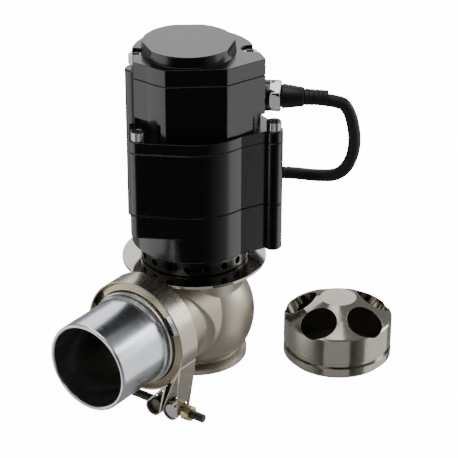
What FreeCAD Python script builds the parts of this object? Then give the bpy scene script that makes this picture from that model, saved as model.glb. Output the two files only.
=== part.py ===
"""Anti-lag valve: an electric actuator on a poppet valve body with V-band ports.

+Z runs up the valve axis. The origin is the centre of the outlet flange's face.
The hose adaptor points along -Y. All sizes are in millimetres.
"""
import FreeCAD
import Part
import math
import os

import Sketcher
from FreeCAD import Placement, Rotation, Vector

os.makedirs("parts", exist_ok=True)
doc = FreeCAD.newDocument("anti_lag_valve")

# Driving dimensions. Each row is alias, value, what it sizes.
SIZES = [
    ("outlet_bore_rad", 19.0, "bore of the outlet and of the valve seat"),
    ("flange_rad", 29.5, "outer radius of both V-band flanges"),
    ("flange_rim", 3.2, "straight rim of a V-band flange"),
    ("flange_taper", 1.8, "height of the flange's clamping cone"),
    ("flange_neck_rad", 25.6, "neck behind a V-band flange"),
    ("neck_land", 2.6, "straight neck behind the outlet flange"),
    ("bowl_rad", 33.8, "outer radius of the valve body's bowl"),
    ("bowl_height", 26.5, "height of the bowl's centre"),
    ("bowl_wall", 3.6, "wall of the bowl"),
    ("bonnet_rad", 27.5, "neck between bowl and top flange"),
    ("blend_start", 36.0, "where the inlet neck begins to widen"),
    ("blend_end", 8.0, "where the widened neck ends inside the bowl"),
    ("blend_rad", 31.0, "radius of the widened neck"),
    ("blend_height", 28.7, "height of the widened neck's axis"),
    ("top_flange_rad", 30.0, "top flange under the heat shield"),
    ("top_flange_thick", 4.5, "thickness of the top flange"),
    ("body_top", 60.4, "height of the valve body's top face"),
    ("port_height", 33.7, "height of the inlet port's axis"),
    ("port_bore_rad", 22.8, "bore of the hose adaptor"),
    ("body_port_rad", 22.4, "bore of the inlet port in the body"),
    ("port_face", 47.0, "inlet flange face, measured from the valve axis"),
    ("spigot_rad", 24.0, "spigot that centres the actuator"),
    ("spigot_height", 7.6, "height of the spigot above the top face"),
    ("seat_rad", 23.4, "outer radius of the seat ring"),
    ("seat_base", 7.0, "height of the seat ring's lower face"),
    ("seat_height", 6.0, "height of the seat ring"),
    ("seat_land", 2.0, "width of the 45 degree seat"),
    ("valve_rim", 2.0, "thickness of the poppet's rim"),
    ("stem_rad", 4.0, "valve stem"),
    ("stem_top", 90.0, "height of the stem's shoulder"),
    ("guide_rad", 7.5, "outer radius of the guide bush"),
    ("guide_low", 44.0, "lower end of the guide bush"),
    ("guide_high", 66.0, "upper end of the guide bush"),
    ("shield_rad", 40.0, "heat shield disc"),
    ("shield_thick", 1.5, "sheet thickness of the heat shield"),
    ("collar_rad", 29.6, "locking collar"),
    ("collar_bore_rad", 26.6, "bore of the locking collar"),
    ("collar_height", 9.8, "height of the locking collar"),
    ("collar_holes", 18, "spanner holes round the collar"),
    ("collar_hole_rad", 2.1, "radius of a spanner hole"),
    ("ring_rad", 26.2, "actuator's register inside the collar"),
    ("housing_rad", 34.5, "round part of the motor housing"),
    ("lug_rad", 5.0, "radius of a bolt lug"),
    ("column_rad", 6.0, "radius of the side column"),
    ("web_turn", -6.4, "where the right lug's web leaves the round body"),
    ("right_turn", 18.5, "angle of the right bolt lug"),
    ("right_reach", 45.0, "right bolt lug from the valve axis"),
    ("front_turn", -101.0, "angle of the front bolt lug"),
    ("front_reach", 39.0, "front bolt lug from the valve axis"),
    ("back_turn", 138.0, "angle of the back bolt lug"),
    ("back_reach", 41.0, "back bolt lug from the valve axis"),
    ("front_lug_low", 87.3, "lower end of the front lug"),
    ("column_turn", -143.0, "angle of the side column"),
    ("column_reach", 30.2, "side column from the valve axis"),
    ("base_low", 72.8, "underside of the spring housing"),
    ("base_high", 100.0, "joint between spring and motor housing"),
    ("motor_high", 136.8, "top of the motor housing"),
    ("plate_high", 142.8, "top of the bearing plate"),
    ("spring_bore_rad", 24.0, "bore of the spring housing"),
    ("floor_thick", 3.4, "floor of the spring housing"),
    ("motor_bore_rad", 30.0, "bore of the motor housing"),
    ("motor_floor", 4.0, "floor of the motor housing"),
    ("head_rad", 32.5, "round part of the electronics housing"),
    ("head_turn", -50.0, "direction that the electronics housing faces"),
    ("head_high", 173.6, "top of the electronics housing"),
    ("head_wall", 5.4, "wall of the electronics housing"),
    ("tip_far", 37.2, "sideways reach of the housing's corners"),
    ("tip_near", 32.0, "sideways reach of the cut-back corner"),
    ("tip_front", 14.8, "forward place of the housing's corners"),
    ("flat_side", 16.0, "half width of the housing's round front"),
    ("boss_reach", 30.2, "circle of the cap screws"),
    ("boss_rad", 6.0, "screw bosses of the electronics housing"),
    ("cap_high", 182.6, "top face of the cap's flange"),
    ("cap_wall", 3.0, "wall of the cap"),
    ("crown_high", 188.3, "top of the cap's crown"),
    ("crown_rad", 24.7, "flat top of the crown"),
    ("crown_foot_rad", 25.4, "foot of the crown"),
    ("crown_x", -1.4, "centre of the crown"),
    ("crown_y", -2.0, "centre of the crown"),
    ("crown_cut", 23.4, "distance of the crown's side cuts"),
    ("crown_turn", 21.0, "direction of the first side cut"),
    ("crown_gap", 144.4, "angle between the two side cuts"),
    ("cut_blend", 4.5, "blend at the foot of a side cut"),
    ("screw_rad", 2.5, "M5 screws"),
    ("screw_head_rad", 4.25, "M5 cap screw head"),
    ("screw_head_high", 5.0, "M5 cap screw head"),
    ("hex_key_rad", 2.3, "hexagon socket, across its corners"),
    ("hex_key_deep", 2.6, "depth of the hexagon socket"),
    ("cap_screw_long", 14.0, "depth of a cap screw hole"),
    ("housing_screw_long", 52.0, "housing bolt under its head"),
    ("screw_seat", 2.6, "metal left under a cap screw head"),
    ("edge_break", 0.6, "chamfer on housing edges"),
    ("close_gap", 0.3, "gap between faces of separate bodies"),
    ("run_clear", 0.05, "running clearance on a radius"),
    ("fit_clear", 0.1, "clearance of fixed parts"),
    ("stator_rad", 29.8, "outer radius of the stator"),
    ("stator_bore_rad", 18.0, "bore of the stator"),
    ("stator_long", 18.0, "stack length of the stator"),
    ("stator_low", 110.0, "lower face of the stator"),
    ("coil_thick", 4.0, "height of a winding head"),
    ("rotor_rad", 17.5, "outer radius of the rotor magnets"),
    ("magnet_thick", 3.0, "thickness of the magnet ring"),
    ("rotor_shaft_rad", 7.5, "rotor shaft at the bearings"),
    ("screw_core_rad", 4.5, "lead screw"),
    ("bearing_rad", 13.0, "outer radius of the rotor bearings"),
    ("bearing_wide", 6.0, "width of the rotor bearings"),
    ("bearing_lip", 1.2, "metal left under the lower bearing"),
    ("bearing_sink", 3.6, "depth of the upper bearing's seat"),
    ("shaft_room", 1.5, "room round the rotor shaft"),
    ("pocket_rad", 11.8, "arched pocket over a housing bolt"),
    ("pocket_high", 8.6, "height of an arched pocket"),
    ("step_front", 11.8, "length of the corner's flat side"),
    ("step_side", 2.9, "drop of the corner's flat side"),
    ("back_front", 21.2, "where the corner runs out into the round back"),
    ("back_side", 7.2, "drop of the corner at its back end"),
    ("board_low", 161.6, "underside of the drive board"),
    ("board_thick", 1.6, "thickness of the drive board"),
    ("board_post_rad", 3.0, "posts under the drive board"),
    ("board_post_reach", 22.0, "circle of the board's posts"),
    ("board_post_turn", 86.0, "angle of the first board post"),
    ("board_screw_rad", 1.4, "M3 screws of the drive board"),
    ("seal_high", 3.4, "height of the stem seal"),
    ("spring_wire_rad", 0.9, "wire of the return spring"),
    ("spring_coil_rad", 15.5, "mean radius of the return spring"),
    ("spring_turns", 4.5, "turns of the return spring"),
    ("spring_seat_rad", 20.0, "spring seat on the stem"),
    ("spring_seat_low", 77.0, "underside of the spring seat"),
    ("spring_seat_thick", 2.4, "thickness of the spring seat"),
    ("tube_rad", 25.0, "hose tail of the adaptor"),
    ("tube_end", 95.1, "outer end of the adaptor, from the valve axis"),
    ("step_rad", 26.6, "step behind the adaptor's flange"),
    ("step_wide", 3.4, "width of each step"),
    ("gasket_thick", 0.4, "inlet gasket"),
    ("band_rad", 31.4, "inner radius of the clamp's band"),
    ("band_thick", 0.8, "thickness of the band"),
    ("band_wide", 13.6, "width of the band"),
    ("band_gap", 3.0, "opening of the band between its ends"),
    ("band_gap_turn", 43.0, "angle of the band's opening from straight below the port"),
    ("bolt_reach", 41.0, "distance of the clamp bolt below the port's axis"),
    ("head_loop_side", 11.6, "sideways place of the loop on the bolt's head"),
    ("head_loop_turn", 39.0, "angle at which the head's loop leaves the band"),
    ("nut_loop_side", 22.1, "sideways place of the loop at the nut"),
    ("nut_loop_turn", 71.4, "angle at which the nut's loop leaves the band"),
    ("loop_rad", 5.1, "outer radius of a loop"),
    ("loop_slot", 3.5, "half width of the slot in a loop"),
    ("loop_half", 5.4, "half width of the nut's loop at its cross pin"),
    ("pin_rad", 4.1, "cross pins of the clamp bolt"),
    ("bolt_rad", 2.5, "M5 clamp bolt"),
    ("bolt_tail", -9.0, "sideways place of the clamp bolt's left end"),
    ("bolt_end", 41.5, "sideways place of the clamp bolt's right end"),
    ("nut_flat", 4.0, "half width across the clamp nut's flats"),
    ("nut_thick", 5.0, "thickness of the clamp nut"),
    ("nut_side", 28.1, "sideways place of the clamp nut"),
    ("retainers", 3, "V retainers inside the band"),
    ("retainer_lip", 2.3, "reach of a retainer's lip behind the flange rim"),
    ("retainer_arc", 98.0, "angle that one retainer covers"),
    ("gland_height", 158.5, "height of the cable gland"),
    ("gland_turn", 30.0, "direction of the cable gland"),
    ("gland_face", 41.2, "seat of the gland from the valve axis"),
    ("gland_pad_rad", 8.4, "seat pad for the gland"),
    ("gland_hex", 7.9, "half width across the gland's flats"),
    ("gland_hex_thick", 5.6, "thickness of the gland's hexagon"),
    ("gland_rad", 6.6, "gland cap"),
    ("gland_long", 12.6, "length of the gland cap"),
    ("gland_thread_rad", 5.0, "thread of the gland"),
    ("sleeve_rad", 4.4, "strain relief sleeve"),
    ("sleeve_long", 12.5, "length of the strain relief sleeve"),
    ("lead_rad", 3.4, "sheath of the lead"),
    ("plug_wide", 21.0, "width of the lead's connector"),
    ("plug_deep", 14.0, "depth of the lead's connector"),
    ("plug_long", 30.0, "length of the lead's connector"),
    ("insert_rad", 31.1, "outer radius of the diffuser insert"),
    ("insert_x", 56.7, "place of the insert beside the valve"),
    ("insert_y", 61.9, "place of the insert beside the valve"),
    ("insert_low", -12.4, "level that the insert stands on, with the clamp's loops"),
    ("insert_side", 26.0, "height of the insert's side"),
    ("insert_high", 36.8, "height of the insert"),
    ("insert_top_rad", 9.6, "flat top of the insert"),
    ("insert_wall", 4.6, "wall of the insert"),
    ("insert_foot", 2.4, "chamfer at the insert's foot"),
    ("groove_height", 8.6, "height of the insert's ring groove"),
    ("groove_wide", 3.4, "width of the insert's ring groove"),
    ("groove_deep", 1.3, "depth of the insert's ring groove"),
    ("port_holes", 5, "gas ports round the insert"),
    ("port_hole_rad", 10.6, "radius of a gas port in the insert"),
    ("port_hole_reach", 21.9, "circle of the gas ports on the insert's shoulder"),
    ("port_hole_tilt", 27.5, "lean of a gas port, square to the shoulder"),
    ("port_hole_turn", -51.0, "direction between the two front gas ports"),
]

sheet = doc.addObject("Spreadsheet::Sheet", "sizes")
for row, (alias, value, note) in enumerate(SIZES, start=1):
    sheet.set(f"A{row}", alias)
    sheet.set(f"B{row}", str(value))
    sheet.setAlias(f"B{row}", alias)
    sheet.set(f"C{row}", note)
doc.recompute()
SIZE = {alias: value for alias, value, note in SIZES}


def number(expression):
    """The value of an expression on the sheet's aliases."""
    found = sheet.evalExpression(expression)
    return float(getattr(found, "Value", found))


def bind(thing, **formulas):
    """Tie properties to formulas; a double underscore in a name stands for a dot."""
    for name, formula in formulas.items():
        thing.setExpression(name.replace("__", "."), formula)


def outline(body, name, plane, corners):
    """A closed sketch whose corners sit at the given formulas, from the origin."""
    sketch = body.newObject("Sketcher::SketchObject", name)
    face = next(f for f in body.Origin.OriginFeatures if f.Role == plane)
    sketch.AttachmentSupport = [(face, "")]
    sketch.MapMode = "FlatFace"
    places = [(number(x), number(y)) for x, y in corners]
    count = len(places)
    for i, (x, y) in enumerate(places):
        next_x, next_y = places[(i + 1) % count]
        sketch.addGeometry(Part.LineSegment(Vector(x, y, 0), Vector(next_x, next_y, 0)))
    for i in range(count):
        sketch.addConstraint(Sketcher.Constraint("Coincident", i, 2, (i + 1) % count, 1))
    for i, corner in enumerate(corners):
        for kind, formula, start in zip(("DistanceX", "DistanceY"), corner, places[i]):
            index = sketch.addConstraint(Sketcher.Constraint(kind, -1, 1, i, 1, start))
            sketch.setExpression(f"Constraints[{index}]", formula)
    return sketch


def disc(body, name, radius, x="0", y="0"):
    """A circle sketch on the body's XY plane."""
    sketch = body.newObject("Sketcher::SketchObject", name)
    face = next(f for f in body.Origin.OriginFeatures if f.Role == "XY_Plane")
    sketch.AttachmentSupport = [(face, "")]
    sketch.MapMode = "FlatFace"
    centre = Vector(number(x), number(y), 0)
    sketch.addGeometry(Part.Circle(centre, Vector(0, 0, 1), number(radius)))
    for kind, formula, start in (("DistanceX", x, centre.x), ("DistanceY", y, centre.y)):
        index = sketch.addConstraint(Sketcher.Constraint(kind, -1, 1, 0, 3, start))
        sketch.setExpression(f"Constraints[{index}]", formula)
    index = sketch.addConstraint(Sketcher.Constraint("Radius", 0, number(radius)))
    sketch.setExpression(f"Constraints[{index}]", radius)
    return sketch


def new_body(name):
    body = doc.addObject("PartDesign::Body", name)
    body.Label = name
    return body


def turned(name, corners, base=("0", "0", "0"), rotation=None):
    """A piece turned on its own Z axis from a half section of radius and height."""
    body = new_body(name)
    sketch = outline(body, name + "_section", "XZ_Plane", corners)
    turn = body.newObject("PartDesign::Revolution", name + "_turn")
    turn.Profile = sketch
    turn.ReferenceAxis = (sketch, ["V_Axis"])
    turn.Angle = 360
    body.Tip = turn
    place(body, base, rotation)
    return body


def place(thing, base=("0", "0", "0"), rotation=None):
    """Put a piece at the given formulas, turned by a fixed rotation."""
    if rotation is not None:
        thing.Placement = Placement(Vector(0, 0, 0), rotation)
    for axis, formula in zip("xyz", base):
        if formula != "0":
            thing.setExpression(f"Placement.Base.{axis}", formula)


def raised(body, sketch, name, height, offset="0"):
    """A pad of the sketch from a height above the body's XY plane."""
    pad = body.newObject("PartDesign::Pad", name)
    pad.Profile = sketch
    bind(pad, Length=height)
    if offset != "0":
        bind(sketch, AttachmentOffset__Base__z=offset)
    return pad


def sunk(body, sketch, name, depth, offset):
    """A pocket of the sketch that cuts down from the offset height."""
    bind(sketch, AttachmentOffset__Base__z=offset)
    pocket = body.newObject("PartDesign::Pocket", name)
    pocket.Profile = sketch
    pocket.Reversed = False
    bind(pocket, Length=depth)
    return pocket


def ring_of(body, features, name, count):
    """Copies of the features round the body's Z axis."""
    pattern = body.newObject("PartDesign::PolarPattern", name)
    pattern.Originals = features
    z_axis = next(f for f in body.Origin.OriginFeatures if f.Role == "Z_Axis")
    pattern.Axis = (z_axis, [""])
    pattern.Angle = 360
    bind(pattern, Occurrences=count)
    body.Tip = pattern
    return pattern


def cylinder(name, radius, height, base=("0", "0", "0"), rotation=None):
    rod = doc.addObject("Part::Cylinder", name)
    bind(rod, Radius=radius, Height=height)
    place(rod, base, rotation)
    return rod


def cone(name, low, high, height, base=("0", "0", "0")):
    frustum = doc.addObject("Part::Cone", name)
    bind(frustum, Radius1=low, Radius2=high, Height=height)
    place(frustum, base)
    return frustum


def block(name, long, wide, high, base=("0", "0", "0"), rotation=None):
    box = doc.addObject("Part::Box", name)
    bind(box, Length=long, Width=wide, Height=high)
    place(box, base, rotation)
    return box


def fused(name, pieces):
    join = doc.addObject("Part::MultiFuse", name)
    join.Shapes = pieces
    join.Refine = True
    return join


def cut(name, base, tools):
    if len(tools) > 1:
        tool = doc.addObject("Part::MultiFuse", name + "_tools")
        tool.Shapes = tools
    else:
        tool = tools[0]
    result = doc.addObject("Part::Cut", name)
    result.Base = base
    result.Tool = tool
    return result


def about_z(turn_formula, reach_formula):
    """Formulas of a place at an angle in degrees and a reach from the axis."""
    return (f"({reach_formula}) * cos(({turn_formula}) * 1 deg)",
            f"({reach_formula}) * sin(({turn_formula}) * 1 deg)")


def broken_edges(name, piece, heights, size="sizes.edge_break"):
    """A chamfer on the outline's edges that lie flat at one of the given heights."""
    doc.recompute()
    levels = [number(formula) for formula in heights]
    break_size = number(size)
    picked = []
    for index, edge in enumerate(piece.Shape.Edges, start=1):
        box = edge.BoundBox
        flat = box.ZLength < 1e-4 and any(abs(box.ZMin - z) < 1e-4 for z in levels)
        if flat and len(edge.Vertexes) == 2 and edge.Length > 4 * break_size:
            picked.append((index, break_size, break_size))
    chamfer = doc.addObject("Part::Chamfer", name)
    chamfer.Base = piece
    chamfer.Edges = picked
    return chamfer


exports = []


def keep(piece, name):
    """List a finished piece for export under its node name."""
    piece.Label = name
    exports.append(piece)
    return piece


TO_MINUS_Y = Rotation(Vector(1, 0, 0), 90)

# Valve body: investment-cast stainless bowl with two machined V-band flanges.
bowl = doc.addObject("Part::Sphere", "bowl_ball")
bind(bowl, Radius="sizes.bowl_rad")
place(bowl, ("0", "0", "sizes.bowl_height"))
bonnet = cylinder("bonnet", "sizes.bonnet_rad", "sizes.body_top - sizes.bowl_height",
                  ("0", "0", "sizes.bowl_height"))
top_flange = cylinder("top_flange", "sizes.top_flange_rad", "sizes.top_flange_thick",
                      ("0", "0", "sizes.body_top - sizes.top_flange_thick"))
spigot = cylinder("spigot", "sizes.spigot_rad", "sizes.spigot_height + sizes.top_flange_thick",
                  ("0", "0", "sizes.body_top - sizes.top_flange_thick"))
outlet_rim = cylinder("outlet_rim", "sizes.flange_rad", "sizes.flange_rim")
outlet_cone = cone("outlet_cone", "sizes.flange_rad", "sizes.flange_neck_rad",
                   "sizes.flange_taper", ("0", "0", "sizes.flange_rim"))
outlet_neck = cylinder("outlet_neck", "sizes.flange_neck_rad",
                       "sizes.bowl_height - sizes.flange_rim", ("0", "0", "sizes.flange_rim"))
inlet_neck = cylinder("inlet_neck", "sizes.flange_neck_rad", "sizes.port_face",
                      ("0", "0", "sizes.port_height"), TO_MINUS_Y)
inlet_rim = cylinder("inlet_rim", "sizes.flange_rad", "sizes.flange_rim",
                     ("0", "-(sizes.port_face - sizes.flange_rim)", "sizes.port_height"),
                     TO_MINUS_Y)
inlet_cone = doc.addObject("Part::Cone", "inlet_cone")
bind(inlet_cone, Radius1="sizes.flange_neck_rad", Radius2="sizes.flange_rad",
     Height="sizes.flange_taper")
place(inlet_cone, ("0", "-(sizes.port_face - sizes.flange_rim - sizes.flange_taper)",
                   "sizes.port_height"), TO_MINUS_Y)
bowl_base = cylinder("bowl_base", "sizes.bowl_rad + 1", "sizes.bowl_height + sizes.bowl_rad",
                     ("0", "0", "sizes.flange_rim + sizes.flange_taper + sizes.neck_land"))
bowl_trimmed = doc.addObject("Part::Common", "bowl_trimmed")
bowl_trimmed.Base = bowl
bowl_trimmed.Tool = bowl_base
blend_rims = []
for i, radius, along, height in ((0, "flange_neck_rad", "blend_start", "port_height"),
                                 (1, "blend_rad", "blend_end", "blend_height")):
    rim = doc.addObject("Part::Circle", f"blend_rim_{i}")
    bind(rim, Radius="sizes." + radius)
    place(rim, ("0", "-sizes." + along, "sizes." + height), TO_MINUS_Y)
    blend_rims.append(rim)
neck_blend = doc.addObject("Part::Loft", "neck_blend")
neck_blend.Sections = blend_rims
neck_blend.Solid = True
neck_blend.Ruled = True
blend_trimmed = doc.addObject("Part::Common", "blend_trimmed")
blend_trimmed.Base = neck_blend
blend_trimmed.Tool = bowl_base
casting = fused("casting", [bowl_trimmed, blend_trimmed, bonnet, top_flange, spigot, outlet_rim, outlet_cone,
                            outlet_neck, inlet_neck, inlet_rim, inlet_cone])

hollow_ball = doc.addObject("Part::Sphere", "hollow_ball")
bind(hollow_ball, Radius="sizes.bowl_rad - sizes.bowl_wall")
place(hollow_ball, ("0", "0", "sizes.bowl_height"))
hollow_span = cylinder("hollow_span", "sizes.bowl_rad",
                       "sizes.guide_low + 2 - sizes.seat_base - sizes.seat_height",
                       ("0", "0", "sizes.seat_base + sizes.seat_height"))
hollow = doc.addObject("Part::Common", "hollow")
hollow.Base = hollow_ball
hollow.Tool = hollow_span
outlet_bore = cylinder("outlet_bore", "sizes.outlet_bore_rad", "sizes.bowl_height",)
seat_pocket = cylinder("seat_pocket", "sizes.seat_rad + sizes.fit_clear",
                       "sizes.seat_height + 1", ("0", "0", "sizes.seat_base"))
inlet_bore = cylinder("inlet_bore", "sizes.body_port_rad", "sizes.port_face",
                      ("0", "-(sizes.guide_rad + 4)", "sizes.port_height"), TO_MINUS_Y)
guide_hole = cylinder("guide_hole", "sizes.guide_rad", "sizes.body_top",
                      ("0", "0", "sizes.bowl_height"))
valve_body = cut("valve_body_cut", casting,
                 [hollow, outlet_bore, seat_pocket, inlet_bore, guide_hole])
keep(valve_body, "valve_body")

# Seat ring: hardened ring pressed in above the outlet, with a 45 degree face.
keep(turned("valve_seat", [
    ("sizes.outlet_bore_rad", "sizes.seat_base"),
    ("sizes.seat_rad", "sizes.seat_base"),
    ("sizes.seat_rad", "sizes.seat_base + sizes.seat_height"),
    ("sizes.outlet_bore_rad + sizes.seat_land", "sizes.seat_base + sizes.seat_height"),
    ("sizes.outlet_bore_rad", "sizes.seat_base + sizes.seat_height - sizes.seat_land"),
]), "valve_seat")

# Poppet valve: head and stem turned in one piece, its face set a gap off the seat.
FACE_LOW = "sizes.seat_base + sizes.seat_height - sizes.seat_land + sizes.close_gap * 1.5"
keep(turned("poppet_valve", [
    ("0", FACE_LOW),
    ("sizes.outlet_bore_rad", FACE_LOW),
    ("sizes.outlet_bore_rad + sizes.seat_land", FACE_LOW + " + sizes.seat_land"),
    ("sizes.outlet_bore_rad + sizes.seat_land", FACE_LOW + " + sizes.seat_land + sizes.valve_rim"),
    ("sizes.stem_rad * 2", FACE_LOW + " + sizes.seat_land + sizes.valve_rim + 2.4"),
    ("sizes.stem_rad", FACE_LOW + " + sizes.seat_land + sizes.valve_rim + 6.4"),
    ("sizes.stem_rad", "sizes.stem_top"),
    ("0", "sizes.stem_top"),
]), "poppet_valve")

# Guide bush and scraper seal that the stem runs in.
keep(turned("guide_bush", [
    ("sizes.stem_rad + sizes.run_clear", "sizes.guide_low"),
    ("sizes.guide_rad", "sizes.guide_low"),
    ("sizes.guide_rad", "sizes.guide_high"),
    ("sizes.stem_rad + sizes.run_clear", "sizes.guide_high"),
]), "guide_bush")

# Heat shield: pressed stainless disc clamped between valve body and actuator.
SHIELD_LOW = "sizes.body_top"
SHIELD_TOP = "sizes.body_top + sizes.shield_thick"
keep(turned("heat_shield", [
    ("sizes.spigot_rad + sizes.fit_clear", SHIELD_LOW),
    ("sizes.shield_rad", SHIELD_LOW),
    ("sizes.shield_rad", SHIELD_TOP),
    ("sizes.spigot_rad + sizes.fit_clear", SHIELD_TOP),
]), "heat_shield")

# Locking collar: black anodised ring with spanner holes, turned to clamp the actuator.
collar = new_body("collar_body")
COLLAR_LOW = SHIELD_TOP + " + sizes.close_gap"
HOLE_MID = COLLAR_LOW + " + sizes.collar_height * 0.45"
collar_section = outline(collar, "collar_section", "XZ_Plane", [
    ("sizes.collar_bore_rad", COLLAR_LOW),
    ("sizes.collar_rad - sizes.edge_break", COLLAR_LOW),
    ("sizes.collar_rad", COLLAR_LOW + " + sizes.edge_break"),
    ("sizes.collar_rad", COLLAR_LOW + " + sizes.collar_height - sizes.edge_break"),
    ("sizes.collar_rad - sizes.edge_break", COLLAR_LOW + " + sizes.collar_height"),
    ("sizes.collar_bore_rad", COLLAR_LOW + " + sizes.collar_height"),
])
collar_turn = collar.newObject("PartDesign::Revolution", "collar_turn")
collar_turn.Profile = collar_section
collar_turn.ReferenceAxis = (collar_section, ["V_Axis"])
hole_sketch = outline(collar, "hole_section", "XZ_Plane", [
    ("sizes.collar_bore_rad - 1", HOLE_MID),
    ("sizes.collar_rad + 1", HOLE_MID),
    ("sizes.collar_rad + 1", HOLE_MID + " + sizes.collar_hole_rad"),
    ("sizes.collar_bore_rad - 1", HOLE_MID + " + sizes.collar_hole_rad"),
])
collar_hole = collar.newObject("PartDesign::Groove", "collar_hole")
collar_hole.Profile = hole_sketch
collar_hole.ReferenceAxis = (hole_sketch, ["Edge1"])
collar_hole.Angle = 360
ring_of(collar, [collar_hole], "collar_holes", "sizes.collar_holes")
keep(collar, "locking_collar")


LUGS = (("right", "sizes.right_turn", "sizes.right_reach"),
        ("front", "sizes.front_turn", "sizes.front_reach"),
        ("back", "sizes.back_turn", "sizes.back_reach"))


def lugged(name, low, high, bore, bore_low, front_low):
    """A round housing with three bolt lugs, joined to it by tangent flats, and a column."""
    body = new_body(name + "_body")
    raised(body, disc(body, name + "_round", "sizes.housing_rad"), name + "_pad",
           f"({high}) - ({low})", low)
    for tag, turn, reach in LUGS:
        foot = front_low if tag == "front" else low
        tall = f"({high}) - ({foot})"
        lean = f"acos((sizes.housing_rad - sizes.lug_rad) / ({reach}))"
        corners = []
        for side in ("-", "+"):
            way = f"({turn}) * 1 deg {side} {lean}"
            lug_x, lug_y = about_z(turn, reach)
            near = (f"sizes.housing_rad * cos({way})", f"sizes.housing_rad * sin({way})")
            far = (f"{lug_x} + sizes.lug_rad * cos({way})", f"{lug_y} + sizes.lug_rad * sin({way})")
            if tag == "right" and side == "-":
                near = about_z("sizes.web_turn", "sizes.housing_rad")
                far = (lug_x, lug_y)
            corners += [near, far] if side == "-" else [far, near]
        web = outline(body, f"{name}_{tag}_web_outline", "XY_Plane", corners)
        raised(body, web, f"{name}_{tag}_web", tall, foot)
        raised(body, disc(body, f"{name}_{tag}_round", "sizes.lug_rad", lug_x, lug_y),
               f"{name}_{tag}_lug", tall, foot)
        sunk(body, disc(body, f"{name}_{tag}_hole", "sizes.screw_rad + sizes.fit_clear",
                        lug_x, lug_y), f"{name}_{tag}_screw_hole", tall, high)
    column_x, column_y = about_z("sizes.column_turn", "sizes.column_reach")
    body.Tip = raised(body, disc(body, name + "_column_round", "sizes.column_rad", column_x, column_y),
                      name + "_column", f"({high}) - ({front_low})", front_low)
    body.Tip = sunk(body, disc(body, name + "_bore", bore), name + "_pocket",
                    f"({high}) - ({bore_low})", high)
    return body


# Spring housing: bottom casing of the actuator, with a register inside the collar.
spring_case = lugged("spring_case", "sizes.base_low", "sizes.base_high - sizes.fit_clear / 2",
                     "sizes.spring_bore_rad", "sizes.base_low + sizes.floor_thick",
                     "sizes.front_lug_low")
register = cylinder("register", "sizes.ring_rad",
                    "sizes.base_low - sizes.body_top - sizes.shield_thick - sizes.close_gap + 1",
                    ("0", "0", SHIELD_TOP + " + sizes.close_gap"))
register_bore = cylinder("register_bore", "sizes.spigot_rad + sizes.close_gap",
                         "sizes.spigot_height + 1", ("0", "0", "sizes.body_top"))
stem_hole = cylinder("stem_hole", "sizes.guide_rad + sizes.close_gap",
                     "sizes.base_high - sizes.body_top", ("0", "0", "sizes.body_top"))
spring_cut = cut("spring_case_cut", fused("spring_case_solid", [spring_case, register]),
                 [register_bore, stem_hole])
keep(broken_edges("spring_case_edges", spring_cut, ["sizes.base_low"]), "spring_housing")

# Motor housing: black anodised aluminium, bored from above for the stator.
motor_case = lugged("motor_case", "sizes.base_high", "sizes.motor_high - sizes.fit_clear / 2",
                    "sizes.motor_bore_rad", "sizes.base_high + sizes.motor_floor",
                    "sizes.base_high")
low_bearing_seat = cylinder("low_bearing_seat", "sizes.bearing_rad + sizes.fit_clear / 2",
                            "sizes.motor_floor + 1",
                            ("0", "0", "sizes.base_high + sizes.bearing_lip"))
motor_shaft_hole = cylinder("motor_shaft_hole", "sizes.rotor_shaft_rad + sizes.shaft_room",
                            "sizes.motor_floor + 1", ("0", "0", "sizes.base_high - 1"))
motor_cut = cut("motor_case_cut", motor_case, [low_bearing_seat, motor_shaft_hole])
keep(broken_edges("motor_case_edges", motor_cut,
                  ["sizes.base_high", "sizes.motor_high - sizes.fit_clear / 2"]), "motor_housing")

# Bearing plate: ring between the housings that holds the upper rotor bearing.
plate = lugged("plate", "sizes.motor_high", "sizes.plate_high",
               "sizes.rotor_shaft_rad + sizes.shaft_room", "sizes.motor_high", "sizes.motor_high")
plate_seat = cylinder("plate_seat", "sizes.bearing_rad + sizes.fit_clear / 2",
                      "sizes.bearing_sink + 1",
                      ("0", "0", "sizes.motor_high - 1"))
keep(cut("plate_cut", plate, [plate_seat]), "bearing_plate")


HEAD_FRONT = "sqrt(sizes.head_rad ^ 2 - sizes.flat_side ^ 2)"


def head_outline(body, name):
    """Plan of the electronics housing, faced along its own +X."""
    return outline(body, name, "XY_Plane", [
        (HEAD_FRONT, "-sizes.flat_side"), (HEAD_FRONT, "sizes.flat_side"),
        ("sizes.tip_front", "sizes.tip_far"),
        ("sizes.tip_front - sizes.step_front", "sizes.tip_far - sizes.step_side"),
        ("sizes.tip_front - sizes.back_front", "sizes.tip_far - sizes.back_side"),
        ("sizes.tip_front - sizes.back_front", "-(sizes.tip_near - 2)"),
        ("sizes.tip_front - sizes.step_front", "-(sizes.tip_near - 0.4)"),
        ("sizes.tip_front", "-sizes.tip_near")])


SCREW_ANGLES = (90, -90, 150, -150)


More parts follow.
